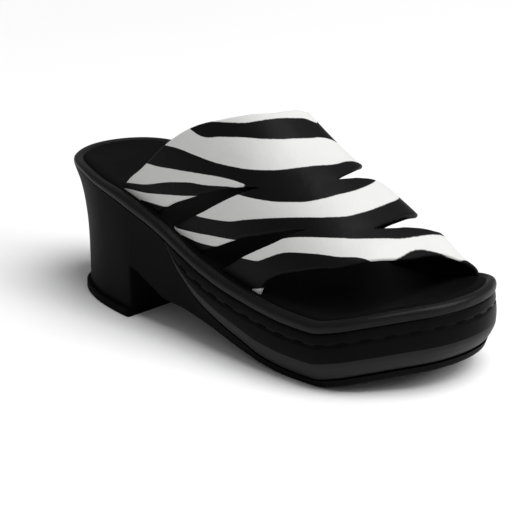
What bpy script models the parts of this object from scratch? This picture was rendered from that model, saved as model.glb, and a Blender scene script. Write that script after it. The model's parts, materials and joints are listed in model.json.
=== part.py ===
"""Right-foot platform mule sandal.

A hollow leather upper of wide bands stands in slots of a padded footbed. Under the footbed lie a
wrapped wedge (the platform) and a moulded unit of heel, arch and thin forepart, with a top piece
under the heel.

Metres, +Z up, standing on Z = 0. The toe points to -Y and the wearer's right, the outer side of
the foot, is at -X. Inside the functions a place is (u, w): u runs forward from the back of the
heel and w runs outwards on the named side.
"""

import bmesh
import bpy
import numpy as np

# Driving sizes of the sole, in metres
LENGTH = 0.245
BALL_WIDTH = 0.092
HEEL_SEAT_HEIGHT = 0.0648
PLATFORM_THICKNESS = 0.0227
OUTSOLE_THICKNESS = 0.0036
TOE_SPRING = 0.0112
BREAST_FROM_BACK = 0.0738
BREAST_HEIGHT = 0.0268
HEEL_BACK_HOLLOW = 0.0129
HEEL_TIP_THICKNESS = 0.0041
HEEL_TIP_LIP = 0.0022
PLATFORM_BULGE = 0.0010
PLATFORM_TUCK = 0.0024
OUTSOLE_INSET = 0.0036
PLATFORM_NOSE = 0.0010

# Driving sizes of the footbed and the upper, in metres
FOOTBED_THICKNESS = 0.0054
FOOTBED_CUP = 0.0016
INSTEP_HEIGHT = 0.0741
UPPER_WALL = 0.0024
STRAP_INSET = 0.0062
GAP = 0.0003

# Numbers of faces
STATIONS = 44
TOP_RUNGS = 6
FOOT_STEPS = 6
BAND_ROWS = 6

WELD = 1e-7
SIDES = ("lateral", "medial")


def table(columns, rows):
    """A table of named columns, each an array."""
    return dict(zip(columns, np.array(rows, dtype=float).T))


# Half widths of the last, as shares of the ball width. The two sides meet at the ends.
PLAN = table(
    ("share", "lateral", "medial"),
    (
        (0.00, 0.000, 0.000),
        (0.02, 0.187, 0.197),
        (0.05, 0.290, 0.288),
        (0.10, 0.368, 0.345),
        (0.20, 0.444, 0.355),
        (0.30, 0.474, 0.328),
        (0.40, 0.483, 0.323),
        (0.50, 0.491, 0.360),
        (0.60, 0.505, 0.427),
        (0.70, 0.512, 0.486),
        (0.80, 0.499, 0.516),
        (0.85, 0.473, 0.517),
        (0.90, 0.394, 0.501),
        (0.95, 0.243, 0.442),
        (0.98, 0.129, 0.335),
        (1.00, -0.112, 0.112),
    ),
)

# rise: share of the climb from the forefoot to the heel seat. wedge: share of the platform's
# thickness. underside: share of the breast's height. spring: share of the toe spring. pad: share
# of the footbed's thickness.
PROFILE = table(
    ("share", "rise", "wedge", "underside", "spring", "pad"),
    (
        (0.00, 1.000, 0.00, 1.200, 0.00, 0.48),
        (0.10, 0.990, 0.00, 1.150, 0.00, 0.52),
        (0.20, 0.895, 0.00, 1.080, 0.00, 0.70),
        (0.26, 0.825, 0.00, 1.040, 0.00, 0.90),
        (0.30, 0.756, 0.00, 1.000, 0.00, 1.00),
        (0.35, 0.667, 0.00, 0.790, 0.00, 1.00),
        (0.40, 0.554, 0.00, 0.575, 0.00, 1.00),
        (0.45, 0.414, 0.47, 0.520, 0.00, 1.00),
        (0.50, 0.282, 0.71, 0.420, 0.00, 1.00),
        (0.56, 0.172, 0.81, 0.280, 0.00, 1.00),
        (0.62, 0.104, 0.90, 0.150, 0.00, 1.00),
        (0.68, 0.050, 1.00, 0.045, 0.00, 1.00),
        (0.74, 0.010, 1.00, 0.000, 0.00, 1.00),
        (0.80, 0.000, 1.00, 0.000, 0.00, 1.00),
        (0.85, 0.000, 1.00, 0.000, 0.24, 1.00),
        (0.90, 0.000, 1.00, 0.000, 0.56, 1.00),
        (0.95, 0.000, 1.00, 0.000, 0.81, 1.00),
        (1.00, 0.000, 1.00, 0.000, 1.00, 1.00),
    ),
)

# The hollow back of the heel, from the seat (depth 0) to the ground (depth 1).
HOLLOW = table(
    ("depth", "inset"),
    ((0.00, 0.00), (0.14, 0.41), (0.30, 0.71), (0.50, 0.93), (0.70, 1.00), (1.00, 1.00)),
)

# Side of the platform, from its top (depth 0) down: share of the bulge and share of the tuck.
PLATFORM_SIDE = table(
    ("depth", "bulge", "tuck"),
    ((0.00, 0.2, 0.0), (0.25, 0.9, 0.0), (0.55, 1.0, 0.0), (0.80, 0.6, 0.35), (1.00, 0.0, 1.0)),
)

# Rounded edge of the footbed: inset and height, as shares of its thickness.
FOOTBED_EDGE = table(
    ("inset", "height"),
    ((0.08, 0.00), (-0.04, 0.18), (-0.05, 0.48), (0.07, 0.76), (0.34, 0.94), (0.80, 1.00)),
)

# Arched sections of the upper. height: share of the instep height over the footbed. ridge: place
# of the top line, share of the ball width towards the lateral side. flank and crown: powers of
# the curved section, 2 for an ellipse and more for a squarer one.
ARCH = table(
    ("share", "height", "ridge", "flank", "crown"),
    (
        (0.24, 1.315, -0.002, 2.20, 1.60),
        (0.42, 1.164, -0.021, 2.30, 1.75),
        (0.55, 1.000, -0.034, 2.38, 1.87),
        (0.65, 0.808, -0.045, 2.43, 1.95),
        (0.75, 0.639, -0.055, 2.49, 2.04),
        (0.85, 0.395, -0.065, 2.55, 2.13),
        (0.90, 0.180, -0.071, 2.58, 2.17),
        (0.945, 0.070, -0.075, 2.60, 2.20),
    ),
)

# Edges of the upper. way: share of the way over the foot, 0 at the lateral base and 1 at the
# medial base. rear and front: shares of the length.
EDGES = table(
    ("way", "rear", "front"),
    (
        (0.00, 0.249, 0.657),
        (0.035, 0.273, 0.669),
        (0.07, 0.307, 0.695),
        (0.13, 0.358, 0.755),
        (0.23, 0.440, 0.829),
        (0.29, 0.487, 0.852),
        (0.365, 0.532, 0.869),
        (0.45, 0.565, 0.882),
        (0.55, 0.575, 0.890),
        (0.62, 0.562, 0.895),
        (0.72, 0.510, 0.906),
        (0.82, 0.430, 0.914),
        (0.91, 0.340, 0.920),
        (1.00, 0.262, 0.923),
    ),
)

# Pointed openings between the bands, in the same measures. Rear and front agree at the point.
LATERAL_OPENINGS = (
    table(
        ("way", "rear", "front"),
        (
            (0.00, 0.362, 0.410),
            (0.045, 0.400, 0.447),
            (0.10, 0.459, 0.497),
            (0.15, 0.514, 0.541),
            (0.20, 0.568, 0.582),
            (0.24, 0.611, 0.611),
        ),
    ),
    table(
        ("way", "rear", "front"),
        (
            (0.00, 0.487, 0.548),
            (0.045, 0.533, 0.588),
            (0.10, 0.594, 0.637),
            (0.15, 0.649, 0.676),
            (0.20, 0.695, 0.706),
            (0.24, 0.728, 0.728),
        ),
    ),
)
MEDIAL_OPENINGS = (
    table(
        ("way", "rear", "front"),
        (
            (0.46, 0.714, 0.714),
            (0.54, 0.707, 0.728),
            (0.62, 0.693, 0.732),
            (0.70, 0.655, 0.708),
            (0.80, 0.580, 0.650),
            (0.90, 0.500, 0.575),
            (1.00, 0.420, 0.500),
        ),
    ),
    table(
        ("way", "rear", "front"),
        (
            (0.43, 0.819, 0.819),
            (0.55, 0.817, 0.845),
            (0.65, 0.810, 0.852),
            (0.73, 0.793, 0.845),
            (0.82, 0.750, 0.815),
            (0.90, 0.695, 0.768),
            (1.00, 0.620, 0.700),
        ),
    ),
)

# Columns of the upper's mesh, over the foot. They pass through the openings' points.
WAYS = np.array(
    (0.0, 0.02, 0.045, 0.075, 0.11, 0.15, 0.195, 0.24, 0.29, 0.34, 0.39, 0.43, 0.46)
    + (0.51, 0.56, 0.61, 0.66, 0.71, 0.76, 0.81, 0.86, 0.90, 0.935, 0.965, 0.985, 1.0)
)


def smooth(xs, ys, x):
    """Monotone cubic through the points (xs, ys), read at x."""
    step = np.diff(xs)
    slope = np.diff(ys) / step
    tangent = np.zeros_like(ys)
    tangent[0] = slope[0]
    tangent[-1] = slope[-1]
    rising = slope[:-1] * slope[1:] > 0
    before = (2 * step[1:] + step[:-1])[rising]
    after = (step[1:] + 2 * step[:-1])[rising]
    blend = before / slope[:-1][rising] + after / slope[1:][rising]
    tangent[1:-1][rising] = (before + after) / blend
    x = np.clip(np.asarray(x, dtype=float), xs[0], xs[-1])
    i = np.clip(np.searchsorted(xs, x, side="right") - 1, 0, len(step) - 1)
    h = step[i]
    t = (x - xs[i]) / h
    start = (1 + 2 * t) * (1 - t) ** 2 * ys[i] + t * (1 - t) ** 2 * h * tangent[i]
    end = t**2 * (3 - 2 * t) * ys[i + 1] - t**2 * (1 - t) * h * tangent[i + 1]
    return start + end


def read(source, column, at, key="share"):
    """A table's column read at the key's values, along a smooth curve."""
    return smooth(source[key], source[column], at)


def turn(share):
    """Angle round the outline at a share of the length: even steps make close stations at both ends."""
    return np.arccos(1 - 2 * np.clip(share, 0, 1))


def half_width(share, side):
    """Half width of the last on one side."""
    return BALL_WIDTH * smooth(turn(PLAN["share"]), PLAN[side], turn(share))


def edge(share, side, inset=0.0):
    """Plan places (u, w) of the outline, moved inwards along its normal."""
    angle = turn(share)
    small = 1e-3
    ahead = np.clip(angle + small, 0, np.pi)
    behind = np.clip(angle - small, 0, np.pi)
    share_ahead = (1 - np.cos(ahead)) / 2
    share_behind = (1 - np.cos(behind)) / 2
    du = LENGTH * (share_ahead - share_behind)
    dw = half_width(share_ahead, side) - half_width(share_behind, side)
    du = np.where((angle < small) | (angle > np.pi - small), 0, du)
    size = np.hypot(du, dw)
    u = LENGTH * np.asarray(share) + inset * dw / size
    w = half_width(share, side) - inset * du / size
    return u, w


def top_height(u):
    """Height of the sole's top, where the footbed lies."""
    share = u / LENGTH
    fore = OUTSOLE_THICKNESS + GAP + PLATFORM_THICKNESS
    climb = (HEEL_SEAT_HEIGHT - fore) * read(PROFILE, "rise", share)
    return fore + climb + TOE_SPRING * read(PROFILE, "spring", share)


def pad_thickness(u):
    """Thickness of the footbed at its edge."""
    return FOOTBED_THICKNESS * read(PROFILE, "pad", u / LENGTH)


def wedge_thickness(u):
    """Thickness of the platform."""
    return PLATFORM_THICKNESS * read(PROFILE, "wedge", u / LENGTH)


def seat_height(u):
    """Height of the moulded unit's top: under the footbed behind, under the platform in front."""
    wedge = wedge_thickness(u)
    return top_height(u) - wedge - GAP * np.minimum(1, wedge / PLATFORM_NOSE)


def underside_height(u):
    """Height of the moulded unit's underside, and of the level where the heel block begins."""
    share = u / LENGTH
    lift = BREAST_HEIGHT * read(PROFILE, "underside", share)
    return lift + TOE_SPRING * read(PROFILE, "spring", share)


def centre():
    """Plan centre of the sole's box: (u, w towards the lateral side)."""
    share = np.linspace(0, 1, 201)
    lateral = half_width(share, "lateral").max()
    medial = half_width(share, "medial").max()
    back = pad_thickness(0.0) * FOOTBED_EDGE["inset"].min()
    return (LENGTH + PLATFORM_BULGE + back) / 2, (lateral - medial) / 2


CENTRE_U, CENTRE_W = centre()


def place(u, w, z, side="lateral"):
    """World points of places on one side."""
    sign = 1.0 if side == "lateral" else -1.0
    u, w, z = np.broadcast_arrays(u, w, z)
    return np.stack((CENTRE_W - sign * w, CENTRE_U - u, z), axis=-1)


def station_shares():
    """Shares of the stations that all pieces of the sole have in common."""
    even = (1 - np.cos(np.linspace(0, np.pi, STATIONS))) / 2
    breast = BREAST_FROM_BACK / LENGTH
    marks = np.array((breast, nose_share()))
    near = np.abs(even[:, None] - marks[None, :]).min(axis=1) < 0.008
    return np.unique(np.concatenate((even[~near], marks)))


def nose_share():
    """Share of the length where the platform is as thick as its nose."""
    share = np.linspace(PROFILE["share"][0], PROFILE["share"][-1], 4001)
    return share[np.argmax(wedge_thickness(share * LENGTH) >= PLATFORM_NOSE)]


class Shell:
    """Corners welded by place, and the faces between them."""

    def __init__(self):
        self.corners = []
        self.known = {}
        self.faces = []

    def corner(self, point):
        """Number of the corner at a point."""
        key = tuple(int(round(float(c) / WELD)) for c in point)
        if key not in self.known:
            self.known[key] = len(self.corners)
            self.corners.append([float(c) for c in point])
        return self.known[key]

    def face(self, points):
        """One face; corners that fall together are dropped."""
        ring = [self.corner(p) for p in points]
        ring = [c for i, c in enumerate(ring) if c != ring[i - 1]]
        if len(set(ring)) >= 3:
            self.faces.append(ring)

    def patch(self, grid):
        """Four-cornered faces over a grid of points."""
        for a in range(grid.shape[0] - 1):
            for b in range(grid.shape[1] - 1):
                self.face((grid[a, b], grid[a + 1, b], grid[a + 1, b + 1], grid[a, b + 1]))

    def ladder(self, lateral, medial, rungs=1, sag=None):
        """A surface between the two sides' lines, lowered along its middle by sag."""
        across = np.linspace(0, 1, rungs + 1)[:, None, None]
        grid = lateral[None] * (1 - across) + medial[None] * across
        if sag is not None:
            grid[..., 2] -= (4 * across * (1 - across))[..., 0] * sag[None]
        self.patch(grid)

    def build(self, name, material):
        """The closed body as an object of the scene."""
        mesh = bpy.data.meshes.new(name)
        mesh.from_pydata(self.corners, [], self.faces)
        body = bmesh.new()
        body.from_mesh(mesh)
        bmesh.ops.recalc_face_normals(body, faces=body.faces)
        body.to_mesh(mesh)
        body.free()
        thing = bpy.data.objects.new(name, mesh)
        bpy.context.scene.collection.objects.link(thing)
        if material is not None:
            mesh.materials.append(material)
        return thing


def finish(name, colour, roughness):
    """A plain material."""
    material = bpy.data.materials.new(name)
    material.use_nodes = True
    shader = material.node_tree.nodes["Principled BSDF"]
    shader.inputs["Base Color"].default_value = (*colour, 1.0)
    shader.inputs["Roughness"].default_value = roughness
    shader.inputs["Metallic"].default_value = 0.0
    return material


def build_footbed(shares):
    """Padded insole with a rounded edge, a slightly cupped top and a slot through it for each strap foot."""
    shell = Shell()
    rings = {}
    for side in SIDES:
        rows = []
        for inset, height in zip(FOOTBED_EDGE["inset"], FOOTBED_EDGE["height"]):
            u, w = edge(shares, side, inset * pad_thickness(shares * LENGTH))
            rows.append(place(u, w, top_height(u) + GAP + height * pad_thickness(u), side))
        rings[side] = np.array(rows)
        shell.patch(rings[side])
    ends = np.sin(turn(shares))
    shell.ladder(rings["lateral"][0], rings["medial"][0])
    shell.ladder(rings["lateral"][-1], rings["medial"][-1], TOP_RUNGS, FOOTBED_CUP * ends)
    footbed = shell.build("footbed", finish("footbed_leather", (0.006, 0.006, 0.007), 0.42))
    for cutter in slot_cutters():
        cut = footbed.modifiers.new(cutter.name, "BOOLEAN")
        cut.operation = "DIFFERENCE"
        cut.solver = "EXACT"
        cut.object = cutter
    return footbed


def build_platform(shares):
    """Wrapped wedge from its thin nose at the arch to the toe, with a bulging side tucked in below."""
    shares = shares[shares >= nose_share() - WELD]
    shell = Shell()
    rings = {}
    for side in SIDES:
        rows = []
        for row in range(len(PLATFORM_SIDE["depth"])):
            thickness = wedge_thickness(shares * LENGTH)
            full = thickness / PLATFORM_THICKNESS
            reach = PLATFORM_BULGE * PLATFORM_SIDE["bulge"][row]
            tuck = PLATFORM_TUCK * PLATFORM_SIDE["tuck"][row]
            u, w = edge(shares, side, (tuck - reach) * full)
            z = top_height(u) - PLATFORM_SIDE["depth"][row] * wedge_thickness(u)
            rows.append(place(u, w, z, side))
        rings[side] = np.array(rows)
        shell.patch(rings[side])
    shell.ladder(rings["lateral"][0], rings["medial"][0])
    shell.ladder(rings["lateral"][-1], rings["medial"][-1])
    shell.patch(np.stack((rings["lateral"][:, 0], rings["medial"][:, 0])))
    return shell.build("platform", finish("platform_leather", (0.005, 0.005, 0.006), 0.30))


def heel_wall(shares, side, depth_levels):
    """Side of the heel block as (levels, stations, 3), hollowed at the back.

    depth_levels are heights given as functions of u, from the seat down.
    """
    rows = []
    ground = HEEL_TIP_THICKNESS + GAP
    for level in depth_levels:
        u, w = edge(shares, side)
        top = seat_height(u)
        z = level(u)
        depth = (top - z) / (top - ground)
        hollow = HEEL_BACK_HOLLOW * read(HOLLOW, "inset", depth, "depth")
        rows.append(place(u + hollow * (1 - u / BREAST_FROM_BACK), w, z, side))
    return np.array(rows)


def heel_levels():
    """Heights of the heel block's rings: from the seat to the breast's top, then to the top piece."""
    ground = HEEL_TIP_THICKNESS + GAP

    def above(part):
        return lambda u: seat_height(u) * (1 - part) + underside_height(u) * part

    def below(part):
        return lambda u: underside_height(u) * (1 - part) + ground * part

    return [above(p) for p in (0.0, 0.25, 0.5, 0.75, 1.0)], [below(p) for p in (0.5, 1.0)]


def arch_wall(shares, side, count):
    """Side of the arch and the forepart as (levels, stations, 3)."""
    rows = []
    full = wedge_thickness(shares * LENGTH) / PLATFORM_THICKNESS
    forward = np.clip((shares * LENGTH - BREAST_FROM_BACK) / (LENGTH - BREAST_FROM_BACK), 0, 1)
    narrow = OUTSOLE_INSET * np.minimum(1, 3 * forward)
    for part in np.linspace(0, 1, count):
        inset = PLATFORM_TUCK * full * (1 - part) + narrow * part
        u, w = edge(shares, side, inset)
        z = seat_height(u) * (1 - part) + underside_height(u) * part
        rows.append(place(u, w, z, side))
    return np.array(rows)


def build_sole_unit(shares):
    """Heel, arch and thin forepart, moulded in one, with a flat breast."""
    upper_levels, lower_levels = heel_levels()
    breast = BREAST_FROM_BACK / LENGTH
    behind = shares[shares <= breast + WELD]
    ahead = shares[shares >= breast - WELD]
    shell = Shell()
    heel = {}
    arch = {}
    for side in SIDES:
        heel[side] = heel_wall(behind, side, upper_levels + lower_levels)
        arch[side] = arch_wall(ahead, side, len(upper_levels))
        arch[side][:, 0] = heel[side][: len(upper_levels), -1]
        shell.patch(heel[side])
        shell.patch(arch[side])
    shell.ladder(heel["lateral"][0], heel["medial"][0])
    shell.ladder(arch["lateral"][0], arch["medial"][0])
    shell.ladder(heel["lateral"][-1], heel["medial"][-1])
    shell.ladder(arch["lateral"][-1], arch["medial"][-1])
    first = len(upper_levels) - 1
    shell.face(list(heel["lateral"][first:, -1]) + list(heel["medial"][first:, -1][::-1]))
    return shell.build("sole_unit", finish("sole_rubber", (0.006, 0.006, 0.006), 0.50))


def build_heel_tip(shares):
    """Top piece under the heel, standing out round its back and flush with the breast."""
    behind = shares[shares <= BREAST_FROM_BACK / LENGTH + WELD]
    shell = Shell()
    rings = {}
    for side in SIDES:
        u, w = edge(behind, side)
        outer_u, outer_w = edge(behind, side, -HEEL_TIP_LIP)
        shift = HEEL_BACK_HOLLOW * (1 - u / BREAST_FROM_BACK)
        tip_u = np.minimum(outer_u + shift, BREAST_FROM_BACK)
        tip_u[-1] = BREAST_FROM_BACK
        rows = [place(tip_u, outer_w, z, side) for z in (HEEL_TIP_THICKNESS, 0.0)]
        rings[side] = np.array(rows)
        shell.patch(rings[side])
    shell.ladder(rings["lateral"][0], rings["medial"][0])
    shell.ladder(rings["lateral"][-1], rings["medial"][-1])
    shell.patch(np.stack((rings["lateral"][:, -1], rings["medial"][:, -1])))
    return shell.build("heel_tip", finish("heel_tip_rubber", (0.004, 0.004, 0.004), 0.65))


def bed_height(u):
    """Height of the footbed's top at the strap feet."""
    return top_height(u) + GAP + pad_thickness(u)


def foot_depth(u):
    """Depth of the strap feet under the footbed's top, just clear of what lies under the footbed."""
    return pad_thickness(u) - GAP


def arch_point(share, way):
    """Outer surface of the upper; way below 0 or above 1 goes straight down into the slots."""
    share, way = np.broadcast_arrays(np.asarray(share, float), np.asarray(way, float))
    sunk = np.maximum(0, np.maximum(-way, way - 1))
    angle = np.pi * np.clip(way, 0, 1)
    lateral = half_width(share, "lateral") - STRAP_INSET
    medial = half_width(share, "medial") - STRAP_INSET
    ridge = BALL_WIDTH * read(ARCH, "ridge", share)
    reach = np.abs(np.cos(angle)) ** (2 / read(ARCH, "flank", share))
    lift = np.sin(angle) ** (2 / read(ARCH, "crown", share))
    w = np.where(angle <= np.pi / 2, ridge + reach * (lateral - ridge), ridge - reach * (medial + ridge))
    u = share * LENGTH
    z = bed_height(u) + INSTEP_HEIGHT * read(ARCH, "height", share) * lift - foot_depth(u) * sunk
    return place(u, w, z)


def arch_normal(share, way):
    """Outward direction of the upper's surface, level at the strap feet."""
    small = 2e-3
    foot = 0.03
    inside = np.clip(way, small, 1 - small)
    across = arch_point(share, inside + small) - arch_point(share, inside - small)
    along = arch_point(share + small, inside) - arch_point(share - small, inside)
    normal = np.cross(along, across)
    distance = np.minimum(np.clip(way, 0, 1), 1 - np.clip(way, 0, 1))
    normal[..., 2] *= np.clip(distance / foot, 0, 1)
    return normal / np.linalg.norm(normal, axis=-1, keepdims=True)


def wall_point(share, way, depth):
    """A point of the upper's wall, depth under its outer surface."""
    return arch_point(share, way) - depth * arch_normal(share, way)


def seam(index, column, way):
    """Place of one side of an opening; between the two openings' points the bands are one."""
    lateral = LATERAL_OPENINGS[index]
    medial = MEDIAL_OPENINGS[index]
    points = (lateral["way"][-1], medial["way"][0])
    joined = np.interp(way, points, (lateral["rear"][-1], medial["rear"][0]))
    outer = read(lateral, column, way, "way")
    inner = read(medial, column, way, "way")
    return np.where(way < points[0], outer, np.where(way > points[1], inner, joined))


def band_lines(way):
    """Rear and front line of each band, as shares of the length, over the ways."""
    rear = read(EDGES, "rear", way, "way")
    front = read(EDGES, "front", way, "way")
    return (
        (rear, seam(0, "rear", way)),
        (seam(0, "front", way), seam(1, "rear", way)),
        (seam(1, "front", way), front),
    )


def build_upper():
    """One hollow wall: the bands are patches that share their edges between the openings' points."""
    ways = np.concatenate(((-1.0,), WAYS, (2.0,)))
    rows = np.linspace(0, 1, BAND_ROWS + 1)[:, None]
    sheet = Shell()
    inner_of = {}
    for rear, front in band_lines(np.clip(ways, 0, 1)):
        share = rear[None] * (1 - rows) + front[None] * rows
        way = np.broadcast_to(ways[None], share.shape)
        outer = wall_point(share, way, 0.0)
        inner = wall_point(share, way, UPPER_WALL)
        sheet.patch(outer)
        for a, b in np.ndindex(share.shape):
            inner_of[sheet.corner(outer[a, b])] = inner[a, b]
    wall = Shell()
    used = {}
    for ring in sheet.faces:
        outer_points = [np.array(sheet.corners[c]) for c in ring]
        inner_points = [inner_of[c] for c in ring]
        wall.face(outer_points)
        wall.face(inner_points[::-1])
        for a, b in zip(ring, ring[1:] + ring[:1]):
            used[(a, b)] = True
    for a, b in used:
        if (b, a) not in used:
            rim = (sheet.corners[a], sheet.corners[b], inner_of[b], inner_of[a])
            wall.face([np.array(p) for p in rim])
    return wall.build("upper", finish("upper_leather", (0.45, 0.45, 0.45), 0.45))


def strap_feet():
    """Rear and front share and base way of each strap foot."""
    feet = []
    for way in (0.0, 1.0):
        for rear, front in band_lines(np.array((way,))):
            feet.append((float(rear[0]), float(front[0]), way))
    return feet


def slot_cutters():
    """A closed cutter round each strap foot, a gap wider than it, right through the footbed."""
    cutters = []
    margin = GAP / LENGTH
    for number, (rear, front, way) in enumerate(strap_feet()):
        shares = np.linspace(rear - margin, front + margin, FOOT_STEPS + 1)
        foot = np.full_like(shares, way)
        drop = np.zeros((len(shares), 3))
        drop[:, 2] = pad_thickness(shares * LENGTH) + GAP
        rise = np.array((0, 0, FOOTBED_THICKNESS))
        outer = wall_point(shares, foot, -GAP)
        inner = wall_point(shares, foot, UPPER_WALL + GAP)
        ring = np.stack((outer - drop, outer + rise, inner + rise, inner - drop, outer - drop))
        shell = Shell()
        shell.patch(ring)
        shell.face(list(ring[:-1, 0]))
        shell.face(list(ring[:-1, -1]))
        cutter = shell.build("slot_cutter_%d" % number, None)
        cutter.hide_render = True
        cutter.display_type = "WIRE"
        cutters.append(cutter)
    return cutters


def main():
    """Clears the scene and builds the pieces."""
    for thing in list(bpy.data.objects):
        bpy.data.objects.remove(thing, do_unlink=True)
    shares = station_shares()
    build_sole_unit(shares)
    build_heel_tip(shares)
    build_platform(shares)
    build_footbed(shares)
    build_upper()


main()
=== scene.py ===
"""Looks of the right-foot platform mule sandal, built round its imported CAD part.

Metres, +Z up, standing on Z = 0. The toe points to -Y and the wearer's right, the outer side of
the foot, is at -X. Inside the classes a place is (u, v): u runs forward from the back of the heel
and v runs outwards to the wearer's right.
"""

from __future__ import annotations

import json
import logging
import math
from dataclasses import dataclass, field
from enum import Enum
from typing import Iterable, Sequence

import bmesh
import bpy
import numpy as np
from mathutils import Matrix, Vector

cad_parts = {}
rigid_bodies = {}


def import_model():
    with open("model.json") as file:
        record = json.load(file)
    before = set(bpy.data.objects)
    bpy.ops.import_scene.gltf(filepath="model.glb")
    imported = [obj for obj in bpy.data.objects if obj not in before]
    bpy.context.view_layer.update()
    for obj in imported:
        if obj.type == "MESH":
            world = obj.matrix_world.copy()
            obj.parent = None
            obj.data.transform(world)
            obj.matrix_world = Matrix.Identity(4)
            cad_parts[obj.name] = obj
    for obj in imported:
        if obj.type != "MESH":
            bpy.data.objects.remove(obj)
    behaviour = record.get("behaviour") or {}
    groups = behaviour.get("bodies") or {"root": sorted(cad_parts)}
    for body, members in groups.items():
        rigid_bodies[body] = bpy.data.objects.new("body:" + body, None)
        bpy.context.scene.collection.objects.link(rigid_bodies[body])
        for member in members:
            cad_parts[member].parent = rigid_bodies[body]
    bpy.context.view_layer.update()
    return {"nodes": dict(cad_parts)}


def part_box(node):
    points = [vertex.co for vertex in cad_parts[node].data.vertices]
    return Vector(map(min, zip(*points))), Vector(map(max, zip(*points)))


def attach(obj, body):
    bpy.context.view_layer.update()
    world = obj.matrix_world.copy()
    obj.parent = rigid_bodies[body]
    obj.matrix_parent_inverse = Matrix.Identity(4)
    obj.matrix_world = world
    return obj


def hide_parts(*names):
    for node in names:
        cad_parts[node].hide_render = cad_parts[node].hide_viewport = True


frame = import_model()

Array = np.ndarray
Material = bpy.types.Material
Object = bpy.types.Object
Colour = tuple[float, float, float]

LOG = logging.getLogger("sandal")
MILLIMETRE = 0.001
WELD = 1e-6


class Side(Enum):
    """Side of the foot; the value is the column of the plan's table."""

    LATERAL = "lateral"
    MEDIAL = "medial"


class Slot(Enum):
    """Material slots of the record."""

    UPPER = "upper_leather"
    FOOTBED = "footbed_leather"
    PLATFORM = "platform_leather"
    SOLE = "sole_rubber"
    HEEL_TIP = "heel_tip_rubber"


def smooth(xs: Array, ys: Array, x: Array) -> Array:
    """Monotone cubic through the points (xs, ys), read at x.

    The slope at an inner point is the weighted harmonic mean of its two chords, or 0 where they
    have opposite signs.

    Args:
        xs: Rising positions of the points.
        ys: Values at the points.
        x: Positions to read.

    Returns:
        The values at x, with the end values outside the points.
    """
    step = np.diff(xs)
    slope = np.diff(ys) / step
    tangent = np.zeros_like(ys)
    tangent[0] = slope[0]
    tangent[-1] = slope[-1]
    rising = slope[:-1] * slope[1:] > 0
    before = (2 * step[1:] + step[:-1])[rising]
    after = (step[1:] + 2 * step[:-1])[rising]
    inverse = before / slope[:-1][rising] + after / slope[1:][rising]
    tangent[1:-1][rising] = (before + after) / inverse
    x = np.clip(np.asarray(x, dtype=float), xs[0], xs[-1])
    i = np.clip(np.searchsorted(xs, x, side="right") - 1, 0, len(step) - 1)
    h = step[i]
    t = (x - xs[i]) / h
    start = (1 + 2 * t) * (1 - t) ** 2 * ys[i] + t * (1 - t) ** 2 * h * tangent[i]
    end = t**2 * (3 - 2 * t) * ys[i + 1] - t**2 * (1 - t) * h * tangent[i + 1]
    return start + end


class Table:
    """A short table with named columns, read along smooth curves."""

    def __init__(self, columns: Sequence[str], rows: Sequence[Sequence[float]]) -> None:
        """Keeps each column as an array; the first column is the key."""
        self.key = columns[0]
        self.columns: dict[str, Array] = dict(zip(columns, np.array(rows, dtype=float).T))

    def __getitem__(self, name: str) -> Array:
        """The values of a column."""
        return self.columns[name]

    def read(self, name: str, at: Array) -> Array:
        """A column at the key's values, along a monotone cubic."""
        return smooth(self.columns[self.key], self.columns[name], at)


PLAN = Table(
    ("share", "lateral", "medial"),
    (
        (0.00, 0.000, 0.000),
        (0.02, 0.187, 0.197),
        (0.05, 0.290, 0.288),
        (0.10, 0.368, 0.345),
        (0.20, 0.444, 0.355),
        (0.30, 0.474, 0.328),
        (0.40, 0.483, 0.323),
        (0.50, 0.491, 0.360),
        (0.60, 0.505, 0.427),
        (0.70, 0.512, 0.486),
        (0.80, 0.499, 0.516),
        (0.85, 0.473, 0.517),
        (0.90, 0.394, 0.501),
        (0.95, 0.243, 0.442),
        (0.98, 0.129, 0.335),
        (1.00, -0.112, 0.112),
    ),
)
PROFILE = Table(
    ("share", "rise", "wedge", "underside", "spring", "pad"),
    (
        (0.00, 1.000, 0.00, 1.200, 0.00, 0.48),
        (0.10, 0.990, 0.00, 1.150, 0.00, 0.52),
        (0.20, 0.895, 0.00, 1.080, 0.00, 0.70),
        (0.26, 0.825, 0.00, 1.040, 0.00, 0.90),
        (0.30, 0.756, 0.00, 1.000, 0.00, 1.00),
        (0.35, 0.667, 0.00, 0.790, 0.00, 1.00),
        (0.40, 0.554, 0.00, 0.575, 0.00, 1.00),
        (0.45, 0.414, 0.47, 0.520, 0.00, 1.00),
        (0.50, 0.282, 0.71, 0.420, 0.00, 1.00),
        (0.56, 0.172, 0.81, 0.280, 0.00, 1.00),
        (0.62, 0.104, 0.90, 0.150, 0.00, 1.00),
        (0.68, 0.050, 1.00, 0.045, 0.00, 1.00),
        (0.74, 0.010, 1.00, 0.000, 0.00, 1.00),
        (0.80, 0.000, 1.00, 0.000, 0.00, 1.00),
        (0.85, 0.000, 1.00, 0.000, 0.24, 1.00),
        (0.90, 0.000, 1.00, 0.000, 0.56, 1.00),
        (0.95, 0.000, 1.00, 0.000, 0.81, 1.00),
        (1.00, 0.000, 1.00, 0.000, 1.00, 1.00),
    ),
)
ARCH = Table(
    ("share", "height", "ridge", "flank", "crown"),
    (
        (0.24, 1.315, -0.002, 2.20, 1.60),
        (0.42, 1.164, -0.021, 2.30, 1.75),
        (0.55, 1.000, -0.034, 2.38, 1.87),
        (0.65, 0.808, -0.045, 2.43, 1.95),
        (0.75, 0.639, -0.055, 2.49, 2.04),
        (0.85, 0.395, -0.065, 2.55, 2.13),
        (0.90, 0.180, -0.071, 2.58, 2.17),
        (0.945, 0.070, -0.075, 2.60, 2.20),
    ),
)


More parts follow.
